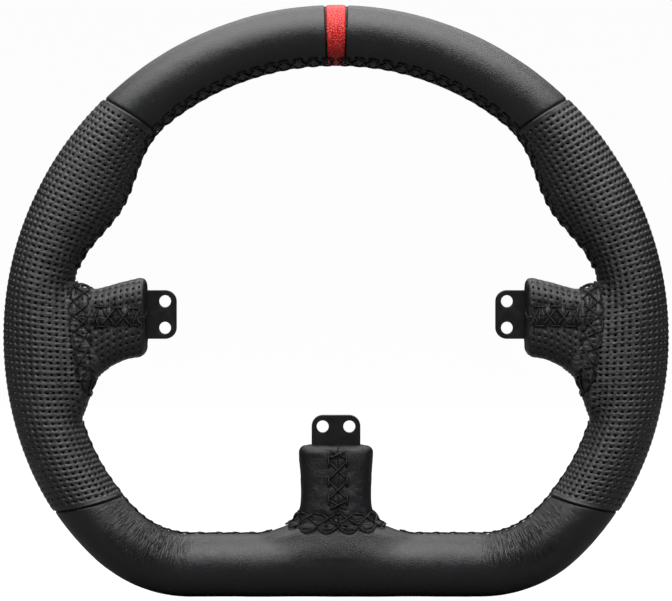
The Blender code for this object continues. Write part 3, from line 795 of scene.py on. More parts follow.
def rim_leather(name, node, start, end, look, slot, spoke=None, lift=0.0, relief=1.0):
    """A leather panel wrapped round the rim between two joints."""
    punched = slot == "perforated_leather"
    s, angle, end_gap, side_gap = rim_grid(start, end, punched)
    base = rim_point(s, angle)
    keep = np.ones((s.shape[0] - 1, s.shape[1] - 1), bool)
    if spoke:
        near = near_spoke(spoke, base)
        base[near] = settle(spoke, base[near])
        covered = spoke_field(spoke, rim_point(s, angle)) < -COVERED_DEPTH[spoke]
        keep &= ~(covered[:-1, :-1] & covered[1:, 1:] & covered[1:, :-1] & covered[:-1, 1:])
    height = lift + np.minimum(edge_drop(end_gap), edge_drop(side_gap, SEAM_RADIUS))
    height = height + pucker(s, side_gap + SEAM_GAP, RIM_PUCKER[punched])
    rows = np.arange(s.shape[0]) - EDGE_STEPS - 1
    waves = punched_relief(s, angle, rows) if punched else uneven(s, angle, SMOOTH_WAVES)
    height = height + waves * relief - pressed(base)
    square = grid_normals(base, rim_point(s, angle, -RIM_DEPTH / 4))
    outer = base + height[..., None] * square
    inner = base + (lift - LEATHER - LINING_ROOM) * square
    cells = None
    if punched:
        first = EDGE_STEPS + 1
        keep[first:-first, first:-first] = even_cells(keep[first:-first, first:-first])
        cells = punched_starts(outer, keep, first, first, len(outer) - first)
    made = shell(name, outer, inner, keep, cells)
    lay = rim_lay(mesh_points(made), start, end)
    gathered = gathering(lay[:, 0], np.degrees(lay[:, 1] / (RIM_DEPTH / 2)), punched)
    finish_leather(made, lay, gathered, node, slot, look)


def gathering(s, angle, punched):
    """How strongly the leather is gathered: towards the spokes, and inside the lower bends."""
    along = np.abs(wrapped(s))
    if punched:
        least, most = PUNCHED_FOLDS
        return least + most * inward(angle, GRIP_FOLDS_INWARD) * bell(along, *GRIP_FOLDING)
    return bell(along, *BEND_FOLDING) * inward(angle, BEND_FOLDS_INWARD)


def even_cells(keep):
    """Keeps a cell of four quads whole, or drops it whole."""
    rows, columns = keep.shape[0] // 2 * 2, keep.shape[1] // 2 * 2
    blocks = keep[:rows, :columns].reshape(rows // 2, 2, columns // 2, 2).any(axis=(1, 3))
    keep = keep.copy()
    keep[:rows, :columns] = blocks.repeat(2, 0).repeat(2, 1)
    return keep


# ---- Spoke covers ----

COVER_FIRST = 1.35  # where the first row of holes or the even leather starts
COVER_STRAIGHT = per_spoke(17.85, 22.0)
COVER_PITCH = 2.75
COVER_BEYOND = 1.5  # the cover's edge lies at most this far past the line where spoke and rim meet
COVER_END = per_spoke(32.6, 36.2)
COVERED_DEPTH = per_spoke(9.8, 10.6)  # rim leather deeper in a spoke is left out
COVER_MARCH = per_spoke(10, 18)  # rows from where the straight part ends to the cover's edge
ROOT_LACING = per_spoke((-8.2, -1.2, 0.6), (-7.2, -2.0, 1.4))  # dashes, crossings, loops past the edge
COVER_LIFT = per_spoke(0.15, 0.0)
SKIRT_LIFT = per_spoke(0.65, 0.4)
SKIRT_REACH = 4.0
SKIRT_THICKNESS = 0.38
SEAM_BAND = 4.0  # leather without holes along a spoke's seam
BAND_STEPS = 5
SLOT_MARGIN = 0.3
SLOT_POWER = 8.0
ROUNDING_TURNS = (0.0, 14.0, 28.0, 41.0)  # rows on the rounded hub end
SPOKE_SECTION_STEPS = 720
MOUTH_ROWS = ((0.0, 2.2), (0.0, 0.5), (0.05, -0.05), (0.3, -0.3), (0.7, -0.15))  # share of the way out, t
ROOT_ROWS = 8  # rows past the cover's edge, which carry the root stitching
ROOT_ROW_STEP = 0.5  # between them
COVER_BORDER = 0.3  # between the last of the marching rows and the turned edge
EVENED_COLUMNS = 6
DRIFT_REACH = 4.0  # from the front seam
DRAWN_REACH = 6.0
DRAWN_ROOT = 7.0  # from the cover's edge
DRAWN = 1.2
COVER_RIBS = 0.05
SEAM_PUCKER = (0.144, 0.27)  # of smooth and of perforated leather
EDGE_PUCKER = 0.063
EDGE_PUCKER_START = 0.8
SEAM_FOLDING = 5.5
ROOT_FOLDING = 9.0
COVER_FOLDS = 0.85
COVER_LEAST_FOLDS = 0.06
SMOOTH_SEAM_FOLDS = 0.5
SMOOTH_ROOT_FOLDS = 0.3


def seam_bounds(spoke, t):
    """Angles of the two edges of a spoke's leather at its front seam, the second one a turn lower."""
    middle, wide, _ = spoke_sizes(spoke, t)
    high, low = ((SPOKE_SEAM[spoke] + gap - middle) / wide for gap in (SEAM_GAP, -SEAM_GAP))
    first = math.degrees(math.acos(float(signed_power(high, SPOKE_POWER / 2))))
    return first, math.degrees(math.acos(float(signed_power(low, SPOKE_POWER / 2)))) - 360.0


def cover_section(spoke, t):
    """Angles round a spoke from one edge of its leather to the other, the length run at each, and the
    length run at each of the spoke's two narrow sides."""
    angles = np.linspace(*seam_bounds(spoke, t), SPOKE_SECTION_STEPS + 1)
    run = lengths_along(spoke_point(spoke, t, angles))
    return angles, run, np.interp(0.0, -angles, run), np.interp(180.0, -angles, run)


def cover_columns(spoke, t, counts):
    """Angles of the columns of a spoke's leather at one place along it."""
    angles, run, top, below = cover_section(spoke, t)
    length = run[-1]
    if not PUNCHED[spoke]:
        return np.interp(seam_to_seam(length, counts[0]), run, angles)
    before, behind, after = counts
    band = np.linspace(SEAM_RADIUS, SEAM_BAND, BAND_STEPS, endpoint=False)
    upper = squeezed(top, before, SEAM_BAND)
    rear = np.linspace(top, below, behind + 1)
    lower = length - squeezed(length - below, after, SEAM_BAND)[::-1]
    middle = np.concatenate([band, upper, rear, lower, length - band[::-1]])
    return np.interp(edged(middle, length, SEAM_RADIUS), run, angles)


def cover_counts(spoke):
    """How many half cells the front's upper part, the rest and the front's lower part take."""
    _, run, top, below = cover_section(spoke, COVER_STRAIGHT[spoke])
    if not PUNCHED[spoke]:
        return (round(run[-1] / SMOOTH_STEP),)
    before, after = (2 * int((part - SEAM_BAND) / HOLE_PITCH_ROUND) + 2 for part in (top, run[-1] - below))
    return before, 2 * round((below - top) / HOLE_PITCH_ROUND), after


def rounding(t):
    """How far a spoke's surface is set in near its hub end."""
    into = np.clip(SPOKE_EDGE - t, 0.0, SPOKE_EDGE)
    return SPOKE_EDGE - math.sqrt(SPOKE_EDGE**2 - into**2)


def slot_ring(spoke, angles):
    """The edge of the opening that the steel tab comes out of."""
    turn = np.radians(angles)
    across = (TAB_WIDTH / 2 + SLOT_MARGIN) * signed_power(np.cos(turn), 2 / SLOT_POWER)
    front = (PLATE_THICKNESS / 2 + SLOT_MARGIN) * signed_power(np.sin(turn), 2 / SLOT_POWER)
    return spoke_place(spoke, 0.0, across, RIM_MID_Y - front)


def cover_rows(spoke):
    """The straight rows of a cover's surface, the number of rows before its first row of cells, and the
    angles of its columns."""
    counts = cover_counts(spoke)
    start = cover_columns(spoke, SPOKE_EDGE, counts)
    mouth, end = slot_ring(spoke, start), spoke_point(spoke, 0.0, start, SPOKE_EDGE)
    rows = []
    for share, t in MOUTH_ROWS:
        ring = mouth * (1 - share) + end * share
        rows.append(ring + spoke_place(spoke, t, 0.0, 0.0) - spoke_place(spoke, 0.0, 0.0, 0.0))
    for turn in np.radians(ROUNDING_TURNS):
        t = SPOKE_EDGE * (1 - math.cos(turn))
        rows.append(spoke_point(spoke, t, start, rounding(t)))
    first = len(rows)
    reach = COVER_STRAIGHT[spoke] - COVER_FIRST
    count = 2 * round(reach / COVER_PITCH) if PUNCHED[spoke] else round(reach / SMOOTH_STEP)
    for t in COVER_FIRST + reach * np.arange(count + 1) / count:
        angles = cover_columns(spoke, max(t, SPOKE_EDGE), counts)
        rows.append(spoke_point(spoke, t, angles, rounding(t)))
    return rows, first, angles


def march(spoke, here, heading, distances):
    """Walks over the joined surface from a row of points, and returns the rows that it reaches."""
    rows, gone = [], np.zeros(len(here))
    for distance in distances:
        ahead = here + (distance - gone)[:, None] * heading
        beside = MARCH_EVENING * (ahead[:-2] + ahead[2:])
        ahead[1:-1] = (1 - 2 * MARCH_EVENING) * ahead[1:-1] + beside
        ahead = settle(spoke, ahead, rounds=3)
        heading = unit(MARCH_TURNING * unit(ahead - here) + (1 - MARCH_TURNING) * heading)
        here, gone = ahead, distance
        rows.append(here)
    return rows


def cover_surface(spoke):
    """The base grid of a cover, its first row of cells, and the row where it ends."""
    rows, first, angles = cover_rows(spoke)
    here, heading = rows[-1], unit(rows[-1] - rows[-2])
    reach = np.minimum(junction(spoke, angles) + COVER_BEYOND, COVER_END[spoke]) - COVER_STRAIGHT[spoke]
    half, width = EVENED_COLUMNS, 2 * EVENED_COLUMNS + 1
    reach = np.convolve(np.pad(reach, half, mode="edge"), np.full(width, 1 / width), mode="valid")
    count = COVER_MARCH[spoke]
    distances = [reach * (i + 1) / count for i in range(count)]
    reach = reach + COVER_BORDER
    distances += [reach, *(reach + EDGE_RADIUS - e for e in edge_lines()[::-1])]
    distances += [reach + EDGE_RADIUS + ROOT_ROW_STEP * (i + 1) for i in range(ROOT_ROWS)]
    rows += march(spoke, here, heading, distances)
    return np.array(rows), first, len(rows) - ROOT_ROWS


def gaps_round(points):
    """For each point of a grid, its distance along the row from the row's nearer end and its first."""
    run = lengths_along(points, axis=1)
    return np.minimum(run, run[:, -1:] - run), run


def lengths_back(points):
    """For each point of a grid, its distance back along the column from the last row."""
    run = lengths_along(points)
    return run[-1:] - run


def cover_relief(spoke, base, back, side_gap, run, first):
    """Heights over a cover: puckered along its seam and edge, and uneven, most where it is drawn in."""
    rows = np.arange(len(base))[:, None]
    height = np.minimum(edge_drop(back), edge_drop(side_gap, SEAM_RADIUS))
    height = height + pucker(back, side_gap + SEAM_GAP, SEAM_PUCKER[PUNCHED[spoke]])
    height = height + pucker(run, back + EDGE_PUCKER_START, EDGE_PUCKER)
    drawn = bell(side_gap, 0.0, DRAWN_REACH) + smooth_step(DRAWN_ROOT - back, 0.0, DRAWN_ROOT)
    height = height + uneven(back, run, COVER_WAVES) * (1 + DRAWN * drawn * PUNCHED[spoke])
    if PUNCHED[spoke]:
        height = height + COVER_RIBS * np.where((rows - first) % 2 == 0, 1.0, -1.0) * (rows >= first)
    return height - pressed(base)


def cover_gathering(spoke, lay):
    """How strongly a cover is gathered: along its front seam and at its root."""
    seam = bell(lay[:, 1], SPOKE_SEAM[spoke], SEAM_FOLDING)
    root = smooth_step(lay[:, 0], COVER_END[spoke] - ROOT_FOLDING, COVER_END[spoke])
    if PUNCHED[spoke]:
        return COVER_LEAST_FOLDS + COVER_FOLDS * np.maximum(seam, root)
    seam = SMOOTH_SEAM_FOLDS * seam * smooth_step(-lay[:, 0], -ROOT_FOLDING, 0.0)
    return COVER_FOLDS * np.maximum(seam, SMOOTH_ROOT_FOLDS * root)


def spoke_leather(spoke, surface, first, rows):
    """A spoke's leather cover, with its open seam along the front and its edge laid on the rim."""
    base = surface[:rows]
    side_gap, run = gaps_round(base)
    back = lengths_back(base)
    drift = uneven(back, 0.0 * back, SEAM_DRIFT) * bell(side_gap, 0.0, DRIFT_REACH)
    drift = drift * (np.arange(rows) > first)[:, None]
    base = base + drift[..., None] * sideways(spoke)
    skirt = smooth_step(SKIRT_REACH - back, 0.0, SKIRT_REACH)
    level = COVER_LIFT[spoke] + (SKIRT_LIFT[spoke] - COVER_LIFT[spoke]) * skirt
    lining = (level - SKIRT_THICKNESS + LEATHER) * skirt - LEATHER
    square = grid_normals(base, base.mean(axis=1, keepdims=True))
    height = level + cover_relief(spoke, base, back, side_gap, run, first)
    outer, inner = base + height[..., None] * square, base + lining[..., None] * square
    keep = np.ones((rows - 1, base.shape[1] - 1), bool)
    # The covers take darker copies of the rim's leathers: painted shade.
    look, slot, cells = SHADED_COVER_LEATHER, "smooth_leather", None
    if PUNCHED[spoke]:
        look, slot = SHADED_PUNCHED_COVER, "perforated_leather"
        cells = punched_starts(outer, keep, first, EDGE_STEPS + BAND_STEPS, rows - EDGE_STEPS - 1)
    made = shell(f"{spoke}_spoke_leather", outer, inner, keep, cells, COVER_PUNCH_RADIUS)
    lay = spoke_lay(mesh_points(made), spoke)
    finish_leather(made, lay, cover_gathering(spoke, lay), f"{spoke}_spoke_cover", slot, look)


# ---- Threads ----


def tube(path, radius):
    """Points and faces of a round thread along a path, drawn in at its two ends."""
    along = unit(np.gradient(path, axis=0))
    side = np.cross(along[0], (0.0, 1.0, 0.0))
    if np.linalg.norm(side) < 0.3:
        side = np.cross(along[0], (1.0, 0.0, 0.0))
    rings = []
    turns = 2 * np.pi * np.arange(THREAD_SIDES) / THREAD_SIDES
    for i, (spot, ahead) in enumerate(zip(path, along)):
        side = unit(side - np.dot(side, ahead) * ahead)
        other = np.cross(ahead, side)
        size = radius * (THREAD_TIP if i in (0, len(path) - 1) else 1.0)
        rings.append(spot + size * (np.cos(turns)[:, None] * side + np.sin(turns)[:, None] * other))
    number = np.arange(len(path) * THREAD_SIDES).reshape(-1, THREAD_SIDES)
    turned = np.roll(number, -1, axis=1)
    faces = np.stack([number[:-1], turned[:-1], turned[1:], number[1:]], -1).reshape(-1, 4).tolist()
    return np.concatenate(rings), faces + [number[0, ::-1].tolist(), number[-1].tolist()]


THREAD_SPOTS = []


def thread_tree():
    """The places of all the threads, for finding how near a point is to one."""
    spots = np.concatenate(THREAD_SPOTS)
    tree = KDTree(len(spots))
    for i, spot in enumerate(spots.tolist()):
        tree.insert(spot, i)
    tree.balance()
    return tree


def thread_object(name, node, paths, radius=THREAD_RADIUS):
    """All the strands of one run of stitching as one object of separate closed tubes."""
    points, faces, first = [], [], 0
    THREAD_SPOTS.extend(paths)
    for path in paths:
        made, sides = tube(path, radius)
        points.append(made)
        faces += [[v + first for v in face] for face in sides]
        first += len(made)
    obj = mesh_object(name, np.concatenate(points), faces)
    turns = [np.tile(np.arange(THREAD_SIDES) / THREAD_SIDES, len(path)) for path in paths]
    store(obj, "along", np.concatenate([np.repeat(lengths_along(path), THREAD_SIDES) for path in paths]))
    store(obj, "around", np.concatenate(turns))
    return finish(obj, node, "lacing_thread", THREAD)


def strand(place, start, end, low, high, count=9):
    """A thread from one place to another that dives at both ends: place takes (along, across, lift)."""
    share = np.linspace(0.0, 1.0, count)
    lift = low + (high - low) * np.sin(np.pi * share) ** STRAND_SPREAD
    along = start[0] + (end[0] - start[0]) * share
    across = start[1] + (end[1] - start[1]) * share
    return place(along, across, lift)


def taut(spoke, place, start, end, level, count=11):
    """A thread pulled straight between two places, and lying on the leather where that is in its way."""
    ends = place(*np.array([start, end]).T, np.full(2, DIVE))
    share = np.linspace(0.0, 1.0, count)[:, None]
    path = ends[0] * (1 - share) + ends[1] * share
    least = DIVE + (level - DIVE) * np.sin(np.pi * share[:, 0]) ** STRAND_SPREAD
    most = least + SLACK[spoke]
    height = joined_field(spoke, path)
    for off, bound in ((height < least, least), (height > most, most)):
        off[[0, -1]] = False
        path[off] = settle(spoke, path[off], bound[off])
    return path


def cross_stitches(place, first, last, chance, offset=ROW_OFFSET, stray=1.0):
    """Rows of dashes on both leather edges, and crossing strands that lace them together."""
    count = max(1, round((last - first) / STITCH_PITCH))
    step = (last - first) / count
    paths = []
    for i in range(count):
        middle = first + (i + 0.5) * step + stray * chance.normal(0.0, DASH_STRAYS[0])
        half = DASH_LENGTH / 2 * step / STITCH_PITCH
        for side in (-1, 1):
            row = side * (offset + stray * chance.normal(0.0, DASH_STRAYS[1]))
            paths.append(strand(place, (middle - half, row), (middle + half, row), *DASH_LIFTS))
    reach, across = CROSS_REACH * step, offset - CROSS_INSET
    for i in range(count + 1):
        middle = first + i * step + stray * chance.normal(0.0, CROSS_STRAY)
        for side, high in zip((1, -1), CROSS_LIFTS):
            start = (max(middle - reach, first), -side * across)
            end = (min(middle + reach, last), side * across)
            paths.append(strand(place, start, end, 0.0, high, 11))
    return paths


def rim_lacing(name, node, first, last, side, chance):
    """Cross stitching along the rim's inner seam."""

    def place(along, across, lift):
        turn = np.degrees(across / (RIM_DEPTH / 2))
        on_grip = (along > joint_at(UPPER_JOINT, 180.0)) & (along < joint_at(LOWER_JOINT, 180.0))
        level = lift + GRIP_THREAD_LIFT * on_grip
        spots = rim_point(side * along, seam_angle(along) - turn, level)
        near = near_spoke("bottom", spots) & (along > FLAT_START)
        spots[near] = settle("bottom", spots[near], level[near])
        return spots

    thread_object(name, node, cross_stitches(place, first, last, chance))


def spoke_lacing(spoke, chance):
    """Cross stitching along the front seam of a spoke."""
    last = COVER_END[spoke] + ROOT_LACING[spoke][0] + SPOKE_LACING_END

    def place(along, across, lift):
        spots = settle(spoke, spoke_front(spoke, along, SPOKE_SEAM[spoke] + across), COVER_LIFT[spoke])
        return spots + lift[:, None] * unit(field_slope(spoke, spots))

    paths = cross_stitches(place, SPOKE_LACING_START, last, chance, SPOKE_ROW_OFFSET, STRAY[spoke])
    thread_object(f"{spoke}_spoke_stitching", f"{spoke}_spoke_lacing", paths)


def root_place(spoke, surface, edge_row):
    """Places by length round a cover's edge and distance past it, from the rows of its surface."""
    round_edge = gaps_round(surface)[1][edge_row]
    behind = lengths_back(surface[: edge_row + 1])[:, surface.shape[1] // 2]
    flat, skirt = COVER_LIFT[spoke], SKIRT_LIFT[spoke]

    def place(along, across, lift):
        column = np.interp(np.mod(along, round_edge[-1]), round_edge, np.arange(len(round_edge)))
        before = np.interp(-across, behind[::-1], np.arange(edge_row, -1, -1))
        row = np.where(across > 0, edge_row + across / ROOT_ROW_STEP, before)
        row = np.clip(row, 0, len(surface) - 1.001)
        i, j = np.floor(row).astype(int), np.minimum(np.floor(column).astype(int), len(round_edge) - 2)
        u, v = (row - i)[:, None], (column - j)[:, None]
        low = surface[i, j] * (1 - v) + surface[i, j + 1] * v
        high = surface[i + 1, j] * (1 - v) + surface[i + 1, j + 1] * v
        spots = low * (1 - u) + high * u
        level = flat + (skirt - flat) * smooth_step(across, -SKIRT_REACH, 0.0)
        level = level * smooth_step(-across, *ROOT_SINKING)
        return spots + (lift + level)[:, None] * unit(field_slope(spoke, spots))

    return place, round_edge[-1]


def root_lacing(spoke, surface, rows, chance):
    """Stitching round a spoke's root: crossed strands, dashes on the cover and loops on the rim."""
    place, total = root_place(spoke, surface, rows - 1)
    count = round(total / ROOT_PITCH[spoke])
    step = total / count
    level, stray = SKIRT_LIFT[spoke], STRAY[spoke]
    dash, cross, loops = ROOT_LACING[spoke]
    bow = np.sin(np.pi * np.linspace(0.0, 1.0, ROOT_LOOP_SPOTS))
    paths = []
    for i in range(count):
        start = i * step + stray * chance.normal(0.0, ROOT_STRAYS[0])
        end = (i + 1) * step + stray * chance.normal(0.0, ROOT_STRAYS[0])
        loop = cross + (loops - cross) * bow**ROOT_LOOP_SPREAD
        lift = ROOT_LOOP_LIFTS[0] + ROOT_LOOP_LIFTS[1] * bow
        paths.append(place(np.linspace(start, end, len(bow)), loop, lift))
        begin, finish = (dash + stray * chance.normal(0.0, ROOT_STRAYS[1]) for _ in range(2))
        half = ROOT_DASH_REACH * step
        paths.append(strand(place, (start - half, begin), (start + half, finish), *ROOT_DASH_LIFTS))
        for near, far, side, lift in zip((start, end), (end, start), (1, -1), ROOT_CROSS_LIFTS):
            first = (near + side * ROOT_CROSS_START * step, dash)
            paths.append(taut(spoke, place, first, (far + side * ROOT_CROSS_PAST, cross), level + lift))
    thread_object(f"{spoke}_root_stitching", f"{spoke}_root_lacing", paths, ROOT_THREAD_RADIUS)


def joint_thread(name, node, joint):
    """The thread sunk in the groove between two panels."""
    angles = np.linspace(-180.0, JOINT_THREAD_END, JOINT_THREAD_SPOTS)
    bumps = JOINT_BUMP * np.sin(np.arange(JOINT_THREAD_SPOTS) * JOINT_BUMP_TURN)
    raised = JOINT_RISE * bell(np.abs(angles), 180.0, JOINT_RISE_REACH)
    path = rim_point(joint_at(joint, angles), angles, JOINT_THREAD_LIFT + bumps + raised)
    thread_object(name, node, [path], JOINT_THREAD_RADIUS)


# ---- Steel tabs ----


def arc_points(centre, radius, first, last, count):
    turns = np.radians(np.linspace(first, last, count))
    return [(centre[0] + radius * math.cos(a), centre[1] + radius * math.sin(a)) for a in turns]


def plate_loops(spoke):
    """The tab's outline with its two round corners, and its screw holes."""
    half, corner = TAB_WIDTH / 2 - PLATE_BEVEL, TAB_CORNER
    near = TAB_END[spoke] + PLATE_BEVEL + corner
    outside = arc_points((near, half - corner), corner, 90.0, 180.0, CORNER_SPOTS)
    outside += arc_points((near, corner - half), corner, 180.0, 270.0, CORNER_SPOTS)
    far = SPOKE_END[spoke] + PLATE_INSIDE
    outside += [(far, -half), (far, half)]
    loops = [outside]
    for sign in (-1, 1):
        centre = (TAB_END[spoke] + HOLE_SETBACK, sign * HOLE_SPACING / 2)
        loops.append(arc_points(centre, HOLE_RADIUS + PLATE_BEVEL, 0.0, 360.0, HOLE_SPOTS + 1)[:-1])
    return loops


def tab_curve(spoke):
    """A tab's flat outline, given its thickness and softened edges."""
    curve = bpy.data.curves.new(f"{spoke}_outline", "CURVE")
    curve.dimensions = "2D"
    curve.fill_mode = "BOTH"
    curve.extrude = (PLATE_THICKNESS / 2 - PLATE_BEVEL) * MM
    curve.bevel_depth = PLATE_BEVEL * MM
    curve.bevel_resolution = 3
    for loop in plate_loops(spoke):
        spline = curve.splines.new("POLY")
        spline.points.add(len(loop) - 1)
        for spot, (along, across) in zip(spline.points, loop):
            spot.co = (along * MM, across * MM, 0.0, 1.0)
        spline.use_cyclic_u = True
    return curve


def steel_tab(spoke):
    """A flat steel tab with softened edges, seen from the hub to just inside the spoke."""
    flat = linked(f"{spoke}_flat", tab_curve(spoke))
    bpy.context.view_layer.update()
    mesh = bpy.data.meshes.new_from_object(flat.evaluated_get(bpy.context.evaluated_depsgraph_get()))
    bpy.data.objects.remove(flat, do_unlink=True)
    weld = bmesh.new()
    weld.from_mesh(mesh)
    bmesh.ops.remove_doubles(weld, verts=weld.verts, dist=WELD * MM)
    for vert in weld.verts:
        along, across, rise = vert.co / MM
        vert.co = spoke_place(spoke, along - SPOKE_END[spoke], across, rise - PLATE_THICKNESS / 2) * MM
    bmesh.ops.recalc_face_normals(weld, faces=weld.faces)
    weld.to_mesh(mesh)
    weld.free()
    mesh.shade_smooth()
    mesh.set_sharp_from_angle(angle=math.radians(SHARP))
    mesh.materials.clear()
    finish(linked(f"{spoke}_steel_tab", mesh), f"{spoke}_mount_plate", "powder_coated_steel", POWDER_COAT)


# ---- Materials ----

# Noise is (size in millimetres, detail), and a range of gloss is (least, most) roughness
NET_WIDTH = 0.22  # of the fine creases between leather's pebbles
NET_BEND = (2.2, 0.9)  # size and amount of the shifts in their pattern, in pebbles
PORES_A_PEBBLE = 3.5
PORE_DETAIL = 2.0
PORE_DEPTH = 0.5  # share of the fine creases' depth
PATCHES = (14.0, 4.0)
FINE_CREASE_PAINTED_SHADE = 0.3  # share of the fine creases in leather's colour: painted shade, darker in the grain's valleys
PORE_GLOSS = 0.5  # share of the pores in its gloss
LEATHER_TONES_AT = (0.3, 0.85)
SWELLS = (6.0, 2.0)
SWELL_HEIGHT = 0.1
CREASE_WIDTH = 0.85  # of a deep crease where leather is gathered
CREASE_LENGTH = 11.0
CREASE_BEND = 0.25
CREASE_SHARPNESS = 0.075
RIBS_EVERYWHERE = 0.35
PLIES = 2
PLY_TURNS = 1.1  # a millimetre
SATIN, SHINY = (0.34, 0.46), (0.23, 0.37)


class Look:
    """A material built node by node. Lengths in its textures are in millimetres."""

    def __init__(self, name, roughness=0.5, metallic=0.0, gloss=0.5):
        self.material = bpy.data.materials.new(name)
        self.material.use_nodes = True
        self.tree = self.material.node_tree
        self.shader = self.tree.nodes["Principled BSDF"]
        self.shader.inputs["Roughness"].default_value = roughness
        self.shader.inputs["Metallic"].default_value = metallic
        self.shader.inputs["Specular IOR Level"].default_value = gloss
        self.place = self.node("ShaderNodeTexCoord").outputs["Object"]
        self.height = None

    def node(self, kind, inputs=(), **settings):
        """A new node, with its settings and the numbers at its inputs."""
        made = self.tree.nodes.new(kind)
        for key, value in settings.items():
            setattr(made, key, value)
        for socket, value in dict(inputs).items():
            made.inputs[socket].default_value = value
        return made

    def join(self, source, target):
        self.tree.links.new(source, target)

    def noise(self, size, detail=3.0):
        """Noise whose features are about size millimetres across."""
        settings = {"Scale": 1 / (size * MM), "Detail": detail, "Roughness": 0.55}
        made = self.node("ShaderNodeTexNoise", settings)
        self.join(self.place, made.inputs["Vector"])
        return made.outputs["Fac"]

    def pebbles(self, size, feature="F1", place=None):
        made = self.node("ShaderNodeTexVoronoi", {"Scale": 1 / (size * MM)}, feature=feature)
        self.join(place or self.place, made.inputs["Vector"])
        return made.outputs["Distance"]

    def bent(self, size, amount):
        """The place, shifted by noise, so that a pattern on it isn't regular."""
        made = self.node("ShaderNodeTexNoise", {"Scale": 1 / (size * MM)})
        self.join(self.place, made.inputs["Vector"])
        shift = self.node("ShaderNodeVectorMath", {1: (amount * MM,) * 3}, operation="MULTIPLY_ADD")
        self.join(made.outputs["Color"], shift.inputs[0])
        self.join(self.place, shift.inputs[2])
        return shift.outputs[0]

    def stored(self, name, output="Fac"):
        """What is stored under a name at each point of the piece."""
        return self.node("ShaderNodeAttribute", attribute_name=name).outputs[output]

    def folds(self):
        """Creases across the leather's lay, and ribs between its rows of holes, where it is gathered."""
        lay, gathered = self.stored("lay", "Vector"), self.stored("gathered")
        shares = (1 / CREASE_WIDTH, 1 / CREASE_LENGTH, 0.0)
        squeezed = self.node("ShaderNodeVectorMath", {1: shares}, operation="MULTIPLY")
        self.join(lay, squeezed.inputs[0])
        made = self.node("ShaderNodeTexNoise", {"Scale": 1.0, "Detail": 1.0, "Distortion": CREASE_BEND})
        self.join(squeezed.outputs[0], made.inputs["Vector"])
        from_crease = self.sums(self.sums(made.outputs["Fac"], -0.5), 0.0, "ABSOLUTE")
        creases = self.times(self.spread(from_crease, 0.0, CREASE_SHARPNESS), gathered)
        row = self.node("ShaderNodeSeparateXYZ")
        self.join(lay, row.inputs[0])
        wave = self.sums(self.times(row.outputs[2], 2 * math.pi), 0.0, "COSINE")
        return creases, self.times(wave, self.sums(gathered, RIBS_EVERYWHERE))

    def spread(self, value, low, high, to_low=0.0, to_high=1.0):
        made = self.node("ShaderNodeMapRange", {1: low, 2: high, 3: to_low, 4: to_high})
        self.join(value, made.inputs[0])
        return made.outputs[0]

    def sums(self, a, b, operation="ADD"):
        made = self.node("ShaderNodeMath", operation=operation)
        for socket, value in zip(made.inputs, (a, b)):
            if isinstance(value, float):
                socket.default_value = value
            else:
                self.join(value, socket)
        return made.outputs[0]

    def times(self, a, b):
        return self.sums(a, b, "MULTIPLY")

    def mixed(self, a, b, share):
        """One value with a share of another."""
        return self.sums(self.times(a, 1 - share), self.times(b, share))

    def colour(self, value, *stops):
        """Colours by value: stops of (value, colour), where a colour may be one number for grey."""
        made = self.node("ShaderNodeValToRGB")
        for element, (at, tone) in zip(made.color_ramp.elements, stops):
            element.position = at
            element.color = (*(tone if isinstance(tone, tuple) else (tone,) * 3), 1.0)
        self.join(value, made.inputs[0])
        self.join(made.outputs[0], self.shader.inputs["Base Color"])

    def rough(self, value, low, high):
        self.join(self.spread(value, 0.25, 0.75, low, high), self.shader.inputs["Roughness"])

    def bump(self, value, height):
        """Fine relief: height in millimetres for a value that runs from 0 to 1."""
        made = self.node("ShaderNodeBump", {"Distance": height * MM, "Strength": 1.0})
        self.join(value, made.inputs["Height"])
        if self.height:
            self.join(self.height, made.inputs["Normal"])
        self.height = made.outputs[0]
        self.join(self.height, self.shader.inputs["Normal"])


def leather_look(name, dark, light, grain, depth, shine, gloss=0.5, fold=0.0, rib=0.0):
    """Leather: fine creases between pebbles, darkened in colour as painted shade, pores, folds where it is
    gathered, and uneven gloss.
    """
    look = Look(name, gloss=gloss)
    net = look.pebbles(grain, "DISTANCE_TO_EDGE", look.bent(*(share * grain for share in NET_BEND)))
    creases = look.spread(net, 0.0, NET_WIDTH)
    pores = look.noise(grain / PORES_A_PEBBLE, PORE_DETAIL)
    patches = look.noise(*PATCHES)
    # The colour darkens along the fine creases: painted shade in the grain's valleys.
    look.colour(look.mixed(patches, creases, FINE_CREASE_PAINTED_SHADE), *zip(LEATHER_TONES_AT, (dark, light)))
    look.rough(look.mixed(patches, pores, PORE_GLOSS), *shine)
    look.bump(creases, depth)
    look.bump(pores, depth * PORE_DEPTH)
    look.bump(look.noise(*SWELLS), SWELL_HEIGHT)
    if fold:
        folds, ribs = look.folds()
        look.bump(folds, fold)
        if rib:
            look.bump(ribs, rib)
    return look.material


def painted_shade_pit_look():
    """A near-black floor at the bottom of a punched hole: painted shade for the hole's shadowed depth."""
    look = Look("punched_pit_painted_shade", 0.9, gloss=0.1)
    look.colour(look.noise(0.5), (0.3, 0.001), (0.7, 0.004))
    look.bump(look.noise(0.3), 0.1)
    return look.material


def thread_look():
    """Waxed thread: plies that wind round it, and a slightly uneven black."""
    look = Look("waxed_thread", gloss=0.3)
    winding = look.sums(look.times(look.stored("along"), PLY_TURNS), look.stored("around"))
    ply = look.sums(look.times(winding, 2 * math.pi * PLIES), 0.0, "SINE")
    look.colour(look.noise(3.0), (0.3, 0.001), (0.8, 0.003))
    look.rough(look.noise(0.8), 0.14, 0.26)
    look.bump(look.spread(ply, -1.0, 1.0), 0.09)
    look.bump(look.noise(0.25), 0.03)
    return look.material


